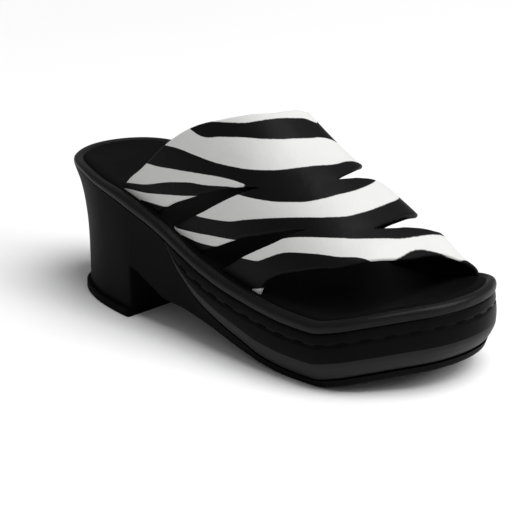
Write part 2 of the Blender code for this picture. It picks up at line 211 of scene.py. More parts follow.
@dataclass(frozen=True)
class Last:
    """The shape of the shoe in plan and height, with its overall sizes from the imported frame.

    Shares run along the length, from 0 at the back of the heel to 1 at the toe. Angles run round
    the outline: 0 at the heel, forward along the lateral side to half a turn at the toe, and back
    along the medial side. The share at an angle is (1 - cos angle) / 2.
    """

    length: float
    ball_width: float
    seat: float
    outsole: float = 0.0036
    platform: float = 0.0227
    pad: float = 0.0054
    cup: float = 0.0016
    instep: float = 0.0741
    toe_spring: float = 0.0112
    breast: float = 0.0738
    breast_height: float = 0.0268
    bulge: float = 0.0010
    gap: float = 0.0003
    strap_inset: float = 0.0062
    edge_bulge: float = 0.05
    ring_points: int = 2048
    soften: float = 0.0036
    nose_steps: int = 4000

    @classmethod
    def back_edge(cls) -> float:
        """How far the footbed's edge stands out behind the outline."""
        return cls.edge_bulge * cls.pad * PROFILE["pad"][0]

    @classmethod
    def from_frame(cls) -> "Last":
        """The last whose length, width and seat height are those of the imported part.

        Returns:
            The last, in metres.
        """
        corners = np.array([[tuple(corner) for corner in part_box(node)] for node in frame["nodes"]])
        spread = corners[:, 1].max(axis=0) - corners[:, 0].min(axis=0)
        widths = PLAN["lateral"].max() + PLAN["medial"].max()
        return cls(
            length=float(spread[1] - cls.bulge - cls.back_edge()),
            ball_width=float((spread[0] - 2 * cls.bulge) / widths),
            seat=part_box("sole_unit")[1].z,
        )

    def half_width(self, share: Array, side: Side) -> Array:
        """Half width on one side, along a curve that is even in the outline's angle.

        Args:
            share: Shares along the length.
            side: Side of the foot.

        Returns:
            The half widths in metres.
        """
        turn = np.arccos(1 - 2 * PLAN["share"])
        at = angle_of(share)
        return self.ball_width * smooth(turn, PLAN[side.value], at)

    def ring(self) -> tuple[Array, Array, Array, Array, Array]:
        """The outline as angle, u, v and outward normal, with its small kinks softened.

        The softening is a circular mean weighted by a bell curve along the arc.

        Returns:
            The angles, u, v, and the outward normal's u and v.
        """
        angle = np.linspace(0, 2 * np.pi, self.ring_points, endpoint=False)
        share = (1 - np.cos(angle)) / 2
        lateral = self.half_width(share, Side.LATERAL)
        medial = self.half_width(share, Side.MEDIAL)
        v = np.where(angle <= np.pi, lateral, -medial)
        u = share * self.length
        step = np.hypot(np.diff(u, append=u[0]), np.diff(v, append=v[0])).sum() / self.ring_points
        wave = np.fft.rfftfreq(self.ring_points)
        bell = np.exp(-2 * (np.pi * wave * self.soften / step) ** 2)
        u = np.fft.irfft(np.fft.rfft(u) * bell, self.ring_points)
        v = np.fft.irfft(np.fft.rfft(v) * bell, self.ring_points)
        du = np.roll(u, -1) - np.roll(u, 1)
        dv = np.roll(v, -1) - np.roll(v, 1)
        size = np.hypot(du, dv)
        return angle, u, v, -dv / size, du / size

    def rim(self, angles: Array, inset: Array | float = 0.0) -> tuple[Array, Array]:
        """Plan places (u, v) of the outline at the angles, moved inwards along its normal.

        Args:
            angles: Angles round the outline.
            inset: How far inside the outline the places lie.

        Returns:
            The places u and v.
        """
        angle, *lines = self.ring()
        values = [np.interp(angles, angle, line, period=2 * np.pi) for line in lines]
        u, v, normal_u, normal_v = values
        return u - inset * normal_u, v - inset * normal_v

    def top(self, u: Array) -> Array:
        """Height of the sole's top, where the footbed lies.

        Args:
            u: Places along the length.

        Returns:
            The heights.
        """
        share = u / self.length
        fore = self.outsole + self.gap + self.platform
        climb = (self.seat - fore) * PROFILE.read("rise", share)
        return fore + climb + self.toe_spring * PROFILE.read("spring", share)

    def pad_at(self, u: Array) -> Array:
        """Thickness of the footbed at its edge."""
        return self.pad * PROFILE.read("pad", u / self.length)

    def wedge(self, u: Array) -> Array:
        """Thickness of the platform."""
        return self.platform * PROFILE.read("wedge", u / self.length)

    def unit_top(self, u: Array) -> Array:
        """Height of the moulded unit's top, under the footbed behind and the platform in front."""
        wedge = self.wedge(u)
        return self.top(u) - wedge - self.gap * np.minimum(1, wedge / MILLIMETRE)

    def underside(self, u: Array) -> Array:
        """Height of the moulded unit's underside.

        Args:
            u: Places along the length.

        Returns:
            The heights.
        """
        share = u / self.length
        lift = self.breast_height * PROFILE.read("underside", share)
        return lift + self.toe_spring * PROFILE.read("spring", share)

    def bed(self, u: Array) -> Array:
        """Height of the footbed's top at the straps."""
        return self.top(u) + self.gap + self.pad_at(u)

    def centre(self) -> tuple[float, float]:
        """Plan centre (u, v) of the shoe's box.

        Returns:
            The centre, in metres.
        """
        back_edge = self.back_edge()
        width = PLAN["lateral"].max() - PLAN["medial"].max()
        return (self.length + self.bulge + back_edge) / 2 - back_edge, self.ball_width * width / 2

    def place(self, u: Array, v: Array, z: Array) -> Array:
        """World points of places.

        Args:
            u: Places forward from the back of the heel.
            v: Places outwards to the wearer's right.
            z: Heights.

        Returns:
            Points with x, y and z last.
        """
        centre_u, centre_v = self.centre()
        u, v, z = np.broadcast_arrays(u, v, z)
        return np.stack((centre_v - v, centre_u - u, z), axis=-1)

    def nose_share(self, nose: float) -> float:
        """Share of the length where the platform is as thick as its nose."""
        share = np.linspace(0, 1, self.nose_steps + 1)
        return float(share[np.argmax(self.wedge(share * self.length) >= nose)])


def angle_of(share: Array | float) -> Array:
    """Angle on the lateral side at a share of the length."""
    return np.arccos(1 - 2 * np.clip(share, 0, 1))


@dataclass
class Patch:
    """A grid of points with the print's coordinates, named fields and a material number."""

    points: Array
    uv: Array
    fields: dict[str, Array]
    material: int


@dataclass
class Sheet:
    """Patches that are welded by place into one mesh."""

    patches: list[Patch] = field(default_factory=list)

    def add(
        self, points: Array, uv: Array | None = None, material: int = 0, **fields: Array
    ) -> None:
        """Adds a grid of points.

        Args:
            points: The grid, as (rows, columns, 3).
            uv: The print's coordinates, or None for the arc length both ways, in metres.
            material: Number of the patch's material.
            fields: Values at the points, by the name of their attribute.
        """
        if uv is None:
            uv = arc_lengths(points)
        self.patches.append(Patch(points, uv, fields, material))

    def ladder(self, first: Array, last: Array, rungs: int, material: int = 0) -> None:
        """Adds the straight surface between two lines with the same number of points.

        Args:
            first: Points of one line.
            last: The matching points of the other.
            rungs: Number of rows of faces between them.
            material: Number of the surface's material.
        """
        across = np.linspace(0, 1, rungs + 1)[:, None, None]
        self.add(first[None] * (1 - across) + last[None] * across, material=material)

    def build(self, name: str, materials: Sequence[Material]) -> Object:
        """Welds the patches and makes the object, faces outwards.

        Points that round to the same cell of WELD are one. A four-cornered face that loses a
        corner becomes a triangle, and one that loses more is dropped.

        Args:
            name: Name of the piece.
            materials: Its materials, in the order of the patches' numbers.

        Returns:
            The new object, with its place in its mesh.
        """
        points = np.concatenate([p.points.reshape(-1, 3) for p in self.patches])
        uvs = np.concatenate([p.uv.reshape(-1, 2) for p in self.patches])
        names = sorted({key for p in self.patches for key in p.fields})
        keys = np.round(points / WELD).astype(np.int64)
        _, first, index = np.unique(keys, axis=0, return_index=True, return_inverse=True)
        quads, numbers = self._quads()
        welded = index.reshape(-1)[quads]
        same = welded == np.roll(welded, -1, axis=1)
        whole = ~same.any(axis=1)
        single = same.sum(axis=1) == 1
        order = (same[single].argmax(axis=1)[:, None] + np.array((1, 2, 3))) % 4
        triangles = np.take_along_axis(welded[single], order, axis=1)
        sources = np.take_along_axis(quads[single], order, axis=1)
        mesh = bpy.data.meshes.new(name)
        mesh.from_pydata(points[first], [], welded[whole].tolist() + triangles.tolist())
        corners = np.concatenate((quads[whole].ravel(), sources.ravel()))
        layer = mesh.uv_layers.new(name="Pattern")
        layer.data.foreach_set("uv", uvs[corners].astype(np.float32).ravel())
        for key in names:
            parts = [p.fields.get(key, np.zeros(p.points.shape[:2])).ravel() for p in self.patches]
            values = np.concatenate(parts)[first].astype(np.float32)
            mesh.attributes.new(key, "FLOAT", "POINT").data.foreach_set("value", values)
        faces = np.concatenate((numbers[whole], numbers[single])).astype(np.int32)
        mesh.polygons.foreach_set("material_index", faces)
        return finish_mesh(mesh, name, materials)

    def _quads(self) -> tuple[Array, Array]:
        """Corner numbers of every grid face before welding, and each face's material number.

        Returns:
            The corner numbers, as (faces, 4), and the material numbers.
        """
        quads = []
        numbers = []
        start = 0
        for patch in self.patches:
            rows, columns = patch.points.shape[:2]
            grid = start + np.arange(rows * columns).reshape(rows, columns)
            corners = (grid[:-1, :-1], grid[1:, :-1], grid[1:, 1:], grid[:-1, 1:])
            quads.append(np.stack(corners, axis=-1).reshape(-1, 4))
            numbers.append(np.full((rows - 1) * (columns - 1), patch.material))
            start += rows * columns
        return np.concatenate(quads), np.concatenate(numbers)


def arc_lengths(points: Array) -> Array:
    """Arc length along both directions of a grid of points, as (rows, columns, 2).

    Args:
        points: A grid of points.

    Returns:
        The lengths across and along.
    """
    across = np.linalg.norm(np.diff(points, axis=1, prepend=points[:, :1]), axis=-1).cumsum(axis=1)
    along = np.linalg.norm(np.diff(points, axis=0, prepend=points[:1]), axis=-1).cumsum(axis=0)
    return np.stack((across, along), axis=-1)


def finish_mesh(
    mesh: bpy.types.Mesh, name: str, materials: Sequence[Material], outward: bool = True
) -> Object:
    """Makes a smooth object of a mesh, with its faces turned outwards.

    Args:
        mesh: The mesh, already filled.
        name: Name of the object.
        materials: Its materials, in order.
        outward: Whether to merge doubles and turn the faces outwards.

    Returns:
        The object, linked to the scene.
    """
    if outward:
        body = bmesh.new()
        body.from_mesh(mesh)
        bmesh.ops.remove_doubles(body, verts=body.verts, dist=2 * WELD)
        bmesh.ops.recalc_face_normals(body, faces=body.faces)
        body.to_mesh(mesh)
        body.free()
    mesh.shade_smooth()
    for material in materials:
        mesh.materials.append(material)
    piece = bpy.data.objects.new(name, mesh)
    bpy.context.scene.collection.objects.link(piece)
    return piece


def flat_shading(piece: Object, angle: float = 38.0, weight: int = 80) -> None:
    """Keeps broad faces flat in the shading and edges sharper than the angle, in degrees, crisp.

    Args:
        piece: The piece to shade.
        angle: Largest angle between faces that are still smooth, in degrees.
        weight: How far large faces outweigh small ones, out of 100.
    """
    piece.data.set_sharp_from_angle(angle=math.radians(angle))
    shading = piece.modifiers.new("flat_faces", "WEIGHTED_NORMAL")
    shading.mode = "FACE_AREA"
    shading.weight = weight
    shading.keep_sharp = True


def dress(piece: Object, nodes: Iterable[str] = ()) -> Object:
    """Rides a piece on the shoe's one body and the CAD nodes that it stands for.

    Args:
        piece: The piece.
        nodes: CAD nodes that it takes the place of.

    Returns:
        The piece.
    """
    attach(piece, "root")
    for node in nodes:
        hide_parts(node)
    LOG.info("%s: %d faces", piece.name, len(piece.data.polygons))
    return piece


def distance_to_lines(points: Array, lines: Sequence[Array]) -> Array:
    """Distance from each point to the nearest of several polylines.

    The nearest corner of all lines is found first, and then the nearer of the two stretches that
    meet there: the foot of the perpendicular, kept between a stretch's ends.

    Args:
        points: Points as (..., dimensions).
        lines: Polylines as (corners, dimensions).

    Returns:
        The distances, in the shape of the points.
    """
    starts = np.concatenate([line[:-1] for line in lines])
    ends = np.concatenate([line[1:] for line in lines])
    flat = points.reshape(-1, points.shape[-1])
    middle = (starts + ends) / 2
    found = np.empty(len(flat))
    chunk = 4000
    candidates = 3
    shortest = 1e-18
    for first in range(0, len(flat), chunk):
        part = flat[first : first + chunk]
        apart = (part**2).sum(1)[:, None] + (middle**2).sum(1)[None] - 2 * part @ middle.T
        near = np.argpartition(apart, candidates, axis=1)[:, :candidates]
        a = starts[near]
        b = ends[near]
        reach = b - a
        squared = np.maximum((reach**2).sum(-1), shortest)
        share = ((part[:, None] - a) * reach).sum(-1) / squared
        foot = a + np.clip(share, 0, 1)[..., None] * reach
        found[first : first + chunk] = np.linalg.norm(part[:, None] - foot, axis=-1).min(axis=1)
    return found.reshape(points.shape[:-1])


class Expression:
    """A shader socket: arithmetic on it adds Math nodes."""

    def __init__(self, graph: "Graph", socket: bpy.types.NodeSocket) -> None:
        """Keeps the socket and the graph that it belongs to."""
        self.graph = graph
        self.socket = socket

    def _math(self, operation: str, *values: "Expression | float") -> "Expression":
        """A Math node on the given values."""
        node = self.graph.node("ShaderNodeMath", {"operation": operation}, dict(enumerate(values)))
        return Expression(self.graph, node.outputs[0])

    def __add__(self, other: "Expression | float") -> "Expression":
        """Sum."""
        return self._math("ADD", self, other)

    def __radd__(self, other: float) -> "Expression":
        """Sum, number first."""
        return self._math("ADD", other, self)

    def __sub__(self, other: "Expression | float") -> "Expression":
        """Difference."""
        return self._math("SUBTRACT", self, other)

    def __rsub__(self, other: float) -> "Expression":
        """Difference, number first."""
        return self._math("SUBTRACT", other, self)

    def __mul__(self, other: "Expression | float") -> "Expression":
        """Product."""
        return self._math("MULTIPLY", self, other)

    def __rmul__(self, other: float) -> "Expression":
        """Product, number first."""
        return self._math("MULTIPLY", other, self)

    def step(self, low: float, high: float) -> "Expression":
        """Smooth step from 0 at low to 1 at high.

        Args:
            low: Value that gives 0.
            high: Value that gives 1.

        Returns:
            The step.
        """
        settings = {"interpolation_type": "SMOOTHSTEP"}
        inputs = {"Value": self, "From Min": low, "From Max": high}
        node = self.graph.node("ShaderNodeMapRange", settings, inputs)
        return Expression(self.graph, node.outputs[0])

    def between(self, low: float, high: float) -> "Expression":
        """Maps 0..1 to low..high in a straight line, without leaving that range.

        Args:
            low: Result at 0.
            high: Result at 1.

        Returns:
            The mapped value.
        """
        inputs = {"Value": self, "To Min": low, "To Max": high}
        return Expression(self.graph, self.graph.node("ShaderNodeMapRange", {}, inputs).outputs[0])

    def sine(self) -> "Expression":
        """Sine."""
        return self._math("SINE", self)


class Graph:
    """A material's nodes: one method makes every node."""

    def __init__(self, name: str) -> None:
        """Makes the material with its Principled shader.

        Args:
            name: Name of the material.
        """
        self.material = bpy.data.materials.new(name)
        self.material.use_nodes = True
        self.tree = self.material.node_tree
        self.shader = self.tree.nodes["Principled BSDF"]
        self.place = self.node("ShaderNodeTexCoord").outputs["Object"]

    def node(
        self, kind: str, settings: dict | None = None, inputs: dict | None = None
    ) -> bpy.types.Node:
        """Makes a node, sets it up and feeds its sockets.

        Args:
            kind: Type of the node.
            settings: Properties to set first.
            inputs: Values, sockets or expressions by socket name or number.

        Returns:
            The node.
        """
        node = self.tree.nodes.new(kind)
        for key, value in (settings or {}).items():
            setattr(node, key, value)
        for key, value in (inputs or {}).items():
            self.feed(node.inputs[key], value)
        return node

    def feed(self, socket: bpy.types.NodeSocket, value: object) -> None:
        """Links a socket or an expression to a socket, or sets its value.

        Args:
            socket: Input socket.
            value: Expression, output socket, colour or number.
        """
        if isinstance(value, Expression):
            self.tree.links.new(value.socket, socket)
        elif isinstance(value, bpy.types.NodeSocket):
            self.tree.links.new(value, socket)
        elif isinstance(value, tuple) and len(value) == 3 and socket.type == "RGBA":
            socket.default_value = (*value, 1.0)
        else:
            socket.default_value = value

    def noise(self, size: float, detail: float = 3.0, roughness: float = 0.5) -> Expression:
        """Noise whose lumps are about size metres wide.

        Args:
            size: Width of the lumps in metres.
            detail: Number of finer layers.
            roughness: Weight of the finer layers.

        Returns:
            The noise, from 0 to 1.
        """
        inputs = {"Vector": self.place, "Scale": 1 / size, "Detail": detail, "Roughness": roughness}
        node = self.node("ShaderNodeTexNoise", {}, inputs)
        return Expression(self, node.outputs["Fac"])

    def cells(self, size: float, feature: str = "F1") -> Expression:
        """Distance in a pattern of cells about size metres wide, as in leather grain.

        Args:
            size: Width of a cell in metres.
            feature: Distance that is measured.

        Returns:
            The distance.
        """
        inputs = {"Vector": self.place, "Scale": 1 / size}
        node = self.node("ShaderNodeTexVoronoi", {"feature": feature}, inputs)
        return Expression(self, node.outputs["Distance"])

    def attribute(self, name: str) -> Expression:
        """A named field of the mesh.

        Args:
            name: Name of the attribute.

        Returns:
            Its value.
        """
        node = self.node("ShaderNodeAttribute", {"attribute_name": name})
        return Expression(self, node.outputs["Fac"])

    def mix(self, share: Expression, first: object, second: object) -> bpy.types.NodeSocket:
        """Blend of two colours, the second where share is 1.

        Args:
            share: Share of the second colour.
            first: First colour or socket.
            second: Second colour or socket.

        Returns:
            The socket of the blend.
        """
        first_colour, second_colour, colour_out = 6, 7, 2
        inputs = {"Factor": share, first_colour: first, second_colour: second}
        return self.node("ShaderNodeMix", {"data_type": "RGBA"}, inputs).outputs[colour_out]

    def bump(self, height: Expression, depth: float, under: object = None) -> bpy.types.NodeSocket:
        """Relief of the given depth in metres, over another relief if one is given.

        Args:
            height: Height, from 0 to 1.
            depth: Height in metres that 1 stands for.
            under: Normal of the relief underneath, if any.

        Returns:
            The socket of the new normal.
        """
        inputs = {"Height": height, "Distance": depth, "Strength": 1.0}
        if under is not None:
            inputs["Normal"] = under
        return self.node("ShaderNodeBump", {}, inputs).outputs["Normal"]

    def set(self, **values: object) -> None:
        """Feeds the shader's sockets; underscores in a name stand for spaces.

        Args:
            values: Values, sockets or expressions by name.
        """
        for key, value in values.items():
            title = key.replace("_", " ").title().replace("Ior", "IOR")
            self.feed(self.shader.inputs[title], value)


def scaled(colour: Colour, factor: float) -> Colour:
    """A colour made lighter or darker by a factor."""
    return tuple(factor * channel for channel in colour)


@dataclass(frozen=True)
class Relief:
    """A broad soft unevenness: how wide its lumps are and how deep, in metres."""

    size: float
    depth: float


@dataclass(frozen=True)
class PrintedLeather:
    """Smooth leather printed with white stripes on black: the stripes come from a field."""

    black: Colour = (0.0044, 0.0044, 0.0046)
    white: Colour = (0.66, 0.66, 0.65)
    black_patch: float = 1.35
    white_patch: float = 0.955
    patch: float = 0.012
    print_edge: float = 0.00022
    wander: Relief = Relief(0.0016, 0.00035)
    pore: float = 0.00075
    pore_share: float = 0.75
    pore_depth: float = 0.00006
    grain: float = 0.0003
    wrinkle: Relief = Relief(0.009, 0.00035)
    smoothest: float = 0.38
    roughest: float = 0.52
    level: float = 0.062

    def make(self) -> Material:
        """Two inks with a soft, slightly uneven edge, over fine pores.

        Returns:
            The material.
        """
        graph = Graph("printed_leather")
        wander = (graph.noise(self.wander.size, 2.0) - 0.5) * self.wander.depth
        inked = (graph.attribute("stripe") + wander).step(-self.print_edge, self.print_edge)
        patchy = graph.noise(self.patch, 4.0, 0.6)
        dark = graph.mix(patchy, self.black, scaled(self.black, self.black_patch))
        pale = graph.mix(patchy, self.white, scaled(self.white, self.white_patch))
        pores = graph.cells(self.pore)
        fine = graph.noise(self.grain, 2.0)
        grain = pores * self.pore_share + fine * (1 - self.pore_share)
        relief = graph.bump(grain, self.pore_depth)
        relief = graph.bump(graph.noise(self.wrinkle.size, 3.0), self.wrinkle.depth, relief)
        graph.set(
            base_color=graph.mix(inked, dark, pale),
            roughness=(fine * 0.5 + patchy * 0.5).between(self.smoothest, self.roughest),
            specular_ior_level=self.level,
            normal=relief,
        )
        return graph.material


@dataclass(frozen=True)
class BlackLeather:
    """Plain black leather: name, pore size, shine and polish set its kind."""

    name: str
    colour: Colour
    pore: float
    pore_depth: float
    smoothest: float
    roughest: float
    level: float
    patch: float = 0.014
    patch_gain: float = 1.5
    crease_scale: float = 2.6
    crease_edge: float = 0.16
    grain_scale: float = 0.4
    wrinkle: Relief = Relief(0.011, 0.00025)

    def make(self) -> Material:
        """Cells and fine noise for the grain, broad noise for the hand-worked surface.

        Returns:
            The material.
        """
        graph = Graph(self.name)
        cells = graph.cells(self.pore)
        edges = graph.cells(self.pore * self.crease_scale, "DISTANCE_TO_EDGE")
        creases = edges.step(0.0, self.crease_edge)
        fine = graph.noise(self.pore * self.grain_scale, 2.0)
        patchy = graph.noise(self.patch, 4.0, 0.6)
        relief = graph.bump(cells * 0.45 + creases * 0.35 + fine * 0.2, self.pore_depth)
        relief = graph.bump(graph.noise(self.wrinkle.size, 3.0), self.wrinkle.depth, relief)
        graph.set(
            base_color=graph.mix(patchy, self.colour, scaled(self.colour, self.patch_gain)),
            roughness=(patchy * 0.6 + cells * 0.4).between(self.smoothest, self.roughest),
            specular_ior_level=self.level,
            normal=relief,
        )
        return graph.material


@dataclass(frozen=True)
class MouldedRubber:
    """Black moulded sole or top piece: a satin skin with a fine tooth and faint flow marks."""

    name: str
    colour: Colour
    smoothest: float
    roughest: float
    tooth: Relief = Relief(0.00035, 0.00004)
    flow: Relief = Relief(0.02, 0.0003)
    patch: float = 0.018
    patch_gain: float = 1.6
    level: float = 0.016

    def make(self) -> Material:
        """Fine noise for the tooth, long soft noise for the flow of the moulding.

        Returns:
            The material.
        """
        graph = Graph(self.name)
        fine = graph.noise(self.tooth.size, 2.0)
        patchy = graph.noise(self.patch, 4.0, 0.65)
        relief = graph.bump(fine, self.tooth.depth)
        relief = graph.bump(graph.noise(self.flow.size, 2.0), self.flow.depth, relief)
        graph.set(
            base_color=graph.mix(patchy, self.colour, scaled(self.colour, self.patch_gain)),
            roughness=(patchy * 0.7 + fine * 0.3).between(self.smoothest, self.roughest),
            specular_ior_level=self.level,
            normal=relief,
        )
        return graph.material


@dataclass(frozen=True)
class Thread:
    """Waxed black sewing thread, twisted."""

    colour: Colour = (0.0022, 0.0022, 0.0022)
    twist: float = 0.0006
    twist_depth: float = 0.00008
    level: float = 0.04

    def make(self) -> Material:
        """Slanting ridges of the twist from the stitch's own coordinates.

        Returns:
            The material.
        """
        graph = Graph("waxed_thread")
        uv = graph.node("ShaderNodeUVMap", {"uv_map": "Pattern"}).outputs["UV"]
        split = graph.node("ShaderNodeSeparateXYZ", {}, {"Vector": uv})
        around = Expression(graph, split.outputs["X"])
        along = Expression(graph, split.outputs["Y"])
        ridges = ((along + around * 0.5) * (2 * math.pi / self.twist)).sine()
        graph.set(
            # Painted shade: the colour is darker in the valleys between the twist's ridges.
            base_color=graph.mix(ridges.between(0.3, 1.0), scaled(self.colour, 0.5), self.colour),
            roughness=graph.noise(0.002).between(0.5, 0.65),
            specular_ior_level=self.level,
            normal=graph.bump(ridges, self.twist_depth),
        )
        return graph.material


@dataclass(frozen=True)
class Floor:
    """Pale studio floor."""

    colour: Colour = (0.93, 0.93, 0.93)
    cloud: float = 0.4
    cloud_gain: float = 1.03
    level: float = 0.2
    size: float = 12.0

    def build(self) -> None:
        """One large plane at the ground, with a faintly uneven matt finish."""
        graph = Graph("studio_floor")
        cloud = graph.noise(self.cloud, 2.0)
        graph.set(
            base_color=graph.mix(cloud, self.colour, scaled(self.colour, self.cloud_gain)),
            roughness=cloud.between(0.7, 0.8),
            specular_ior_level=self.level,
        )
        half = self.size / 2
        corners = [(-half, -half, 0.0), (half, -half, 0.0), (half, half, 0.0), (-half, half, 0.0)]
        mesh = bpy.data.meshes.new("floor")
        mesh.from_pydata(corners, [], [(0, 1, 2, 3)])
        finish_mesh(mesh, "floor", [graph.material], outward=False)


@dataclass(frozen=True)
class Stripe:
    """One printed stripe: the white's rear and front line, as shares of the length by the way."""

    rows: tuple[tuple[float, float, float], ...]
    slant: float = 0.75
    section: float = 0.19

    def depth(self, way: Array, share: Array, length: float) -> Array:
        """How far inside the stripe a place is, in metres; negative outside.

        It is the smaller of the distances to the two lines, less the distance past the stripe's
        own ends, where the way is turned into metres by the width of the section.

        Args:
            way: Ways over the foot.
            share: Shares along the length.
            length: Length of the sole.

        Returns:
            The depths.
        """
        table = Table(("way", "rear", "front"), self.rows)
        rear = table.read("rear", way)
        front = table.read("front", way)
        inside = np.minimum(share - rear, front - share) * length
        ends = table["way"]
        past = np.maximum(0, np.maximum(ends[0] - way, way - ends[-1])) * self.section
        return inside * self.slant - past


# The white stripes; a row holds the way and the rear and front line there.
STRIPES = (
    Stripe(
        (
            (0.235, 0.41, 0.432), (0.27, 0.44, 0.474), (0.35, 0.50, 0.542), (0.44, 0.54, 0.576),
            (0.50, 0.55, 0.590), (0.56, 0.55, 0.600), (0.61, 0.54, 0.585), (0.65, 0.535, 0.550),
        )
    ),
    Stripe(
        (
            (0.140, 0.350, 0.360), (0.16, 0.365, 0.408), (0.18, 0.380, 0.456),
            (0.205, 0.400, 0.507), (0.220, 0.455, 0.532), (0.254, 0.495, 0.578),
            (0.309, 0.548, 0.623), (0.35, 0.580, 0.645), (0.417, 0.611, 0.670),
            (0.50, 0.630, 0.688), (0.59, 0.637, 0.688), (0.68, 0.615, 0.672), (0.76, 0.565, 0.630),
            (0.84, 0.505, 0.556), (0.91, 0.456, 0.484), (0.985, 0.415, 0.415),
        )
    ),
    Stripe(
        (
            (0.020, 0.25, 0.262), (0.049, 0.27, 0.329), (0.084, 0.312, 0.388),
            (0.099, 0.36, 0.413), (0.121, 0.410, 0.447), (0.144, 0.452, 0.487),
            (0.18, 0.512, 0.541), (0.205, 0.556, 0.575), (0.218, 0.582, 0.582),
        )
    ),
    Stripe(
        (
            (-0.03, 0.22, 0.27), (0.0, 0.258, 0.311), (0.035, 0.340, 0.390), (0.072, 0.411, 0.438),
            (0.112, 0.474, 0.474),
        )
    ),
    Stripe(
        (
            (0.070, 0.44, 0.468), (0.099, 0.47, 0.527), (0.120, 0.49, 0.565), (0.15, 0.53, 0.602),
            (0.179, 0.562, 0.634), (0.200, 0.597, 0.655), (0.230, 0.636, 0.684),
            (0.263, 0.669, 0.712), (0.323, 0.711, 0.752), (0.396, 0.735, 0.780),
            (0.482, 0.747, 0.789), (0.55, 0.742, 0.786), (0.619, 0.722, 0.776),
            (0.70, 0.690, 0.748), (0.80, 0.622, 0.688), (0.90, 0.548, 0.606), (1.00, 0.470, 0.530),
            (1.05, 0.44, 0.49),
        )
    ),
    Stripe(
        (
            (-0.03, 0.36, 0.38), (0.0, 0.410, 0.434), (0.027, 0.456, 0.494), (0.054, 0.506, 0.548),
            (0.075, 0.551, 0.572), (0.092, 0.589, 0.589),
        )
    ),
    Stripe(
        (
            (0.058, 0.59, 0.598), (0.080, 0.615, 0.646), (0.098, 0.630, 0.664),
            (0.145, 0.668, 0.706), (0.186, 0.703, 0.754), (0.247, 0.757, 0.812),
            (0.281, 0.781, 0.836), (0.306, 0.795, 0.855), (0.361, 0.822, 0.872),
            (0.422, 0.843, 0.876), (0.485, 0.857, 0.875), (0.531, 0.861, 0.882),
            (0.60, 0.862, 0.892), (0.72, 0.858, 0.905), (0.80, 0.840, 0.905), (0.90, 0.800, 0.862),
            (1.00, 0.750, 0.800), (1.05, 0.73, 0.77),
        )
    ),
    Stripe(
        (
            (-0.03, 0.60, 0.71), (0.0, 0.636, 0.690), (0.012, 0.654, 0.685), (0.022, 0.672, 0.672),
        )
    ),
    Stripe(
        (
            (0.735, 0.545, 0.545), (0.79, 0.482, 0.502), (0.85, 0.410, 0.448),
            (0.93, 0.330, 0.362), (1.00, 0.270, 0.298), (1.05, 0.25, 0.27),
        )
    ),
    Stripe(
        (
            (0.90, 0.660, 0.660), (0.95, 0.615, 0.636), (1.00, 0.570, 0.600), (1.05, 0.54, 0.58),
        )
    ),
    Stripe(
        (
            (0.86, 0.900, 0.900), (0.92, 0.878, 0.905), (1.00, 0.850, 0.890), (1.05, 0.84, 0.88),
        )
    ),
)


@dataclass(frozen=True)
class Crease:
    """A soft trough or ridge across the upper, from one (way, share) to another."""

    start: tuple[float, float]
    end: tuple[float, float]
    height: float
    width: float


CREASES = (
    Crease((0.02, 0.31), (0.16, 0.50), 0.00030, 0.0065),
    Crease((0.02, 0.45), (0.17, 0.62), 0.00028, 0.0060),
    Crease((0.02, 0.61), (0.20, 0.76), 0.00026, 0.0060),
    Crease((0.24, 0.611), (0.36, 0.672), -0.00030, 0.0040),
    Crease((0.24, 0.728), (0.36, 0.800), -0.00028, 0.0040),
    Crease((0.46, 0.714), (0.38, 0.700), -0.00026, 0.0035),
    Crease((0.43, 0.819), (0.36, 0.800), -0.00024, 0.0035),
    Crease((0.30, 0.52), (0.62, 0.60), 0.00024, 0.0090),
    Crease((0.80, 0.47), (0.98, 0.34), 0.00028, 0.0065),
    Crease((0.82, 0.68), (0.98, 0.54), 0.00026, 0.0065),
    Crease((0.84, 0.84), (0.98, 0.78), 0.00024, 0.0065),
)


# Cut edges of the upper and its openings, from the instep to the toes.
EDGES = Table(
    ("way", "rear", "front"),
    (
        (0.00, 0.249, 0.657), (0.035, 0.273, 0.669), (0.07, 0.307, 0.695), (0.13, 0.358, 0.755),
        (0.23, 0.440, 0.829), (0.29, 0.487, 0.852), (0.365, 0.532, 0.869), (0.45, 0.565, 0.882),
        (0.55, 0.575, 0.890), (0.62, 0.562, 0.895), (0.72, 0.510, 0.906), (0.82, 0.430, 0.914),
        (0.91, 0.340, 0.920), (1.00, 0.262, 0.923),
    ),
)
LATERAL_OPENINGS = (
    Table(
        ("way", "rear", "front"),
        (
            (0.00, 0.362, 0.410), (0.045, 0.400, 0.447), (0.10, 0.459, 0.497),
            (0.15, 0.514, 0.541), (0.20, 0.568, 0.582), (0.24, 0.611, 0.611),
        ),
    ),
    Table(
        ("way", "rear", "front"),
        (
            (0.00, 0.487, 0.548), (0.045, 0.533, 0.588), (0.10, 0.594, 0.637),
            (0.15, 0.649, 0.676), (0.20, 0.695, 0.706), (0.24, 0.728, 0.728),
        ),
    ),
)
MEDIAL_OPENINGS = (
    Table(
        ("way", "rear", "front"),
        (
            (0.46, 0.714, 0.714), (0.54, 0.707, 0.728), (0.62, 0.693, 0.732), (0.70, 0.655, 0.708),
            (0.80, 0.580, 0.650), (0.90, 0.500, 0.575), (1.00, 0.420, 0.500),
        ),
    ),
    Table(
        ("way", "rear", "front"),
        (
            (0.43, 0.819, 0.819), (0.55, 0.817, 0.845), (0.65, 0.810, 0.852), (0.73, 0.793, 0.845),
            (0.82, 0.750, 0.815), (0.90, 0.695, 0.768), (1.00, 0.620, 0.700),
        ),
    ),
)


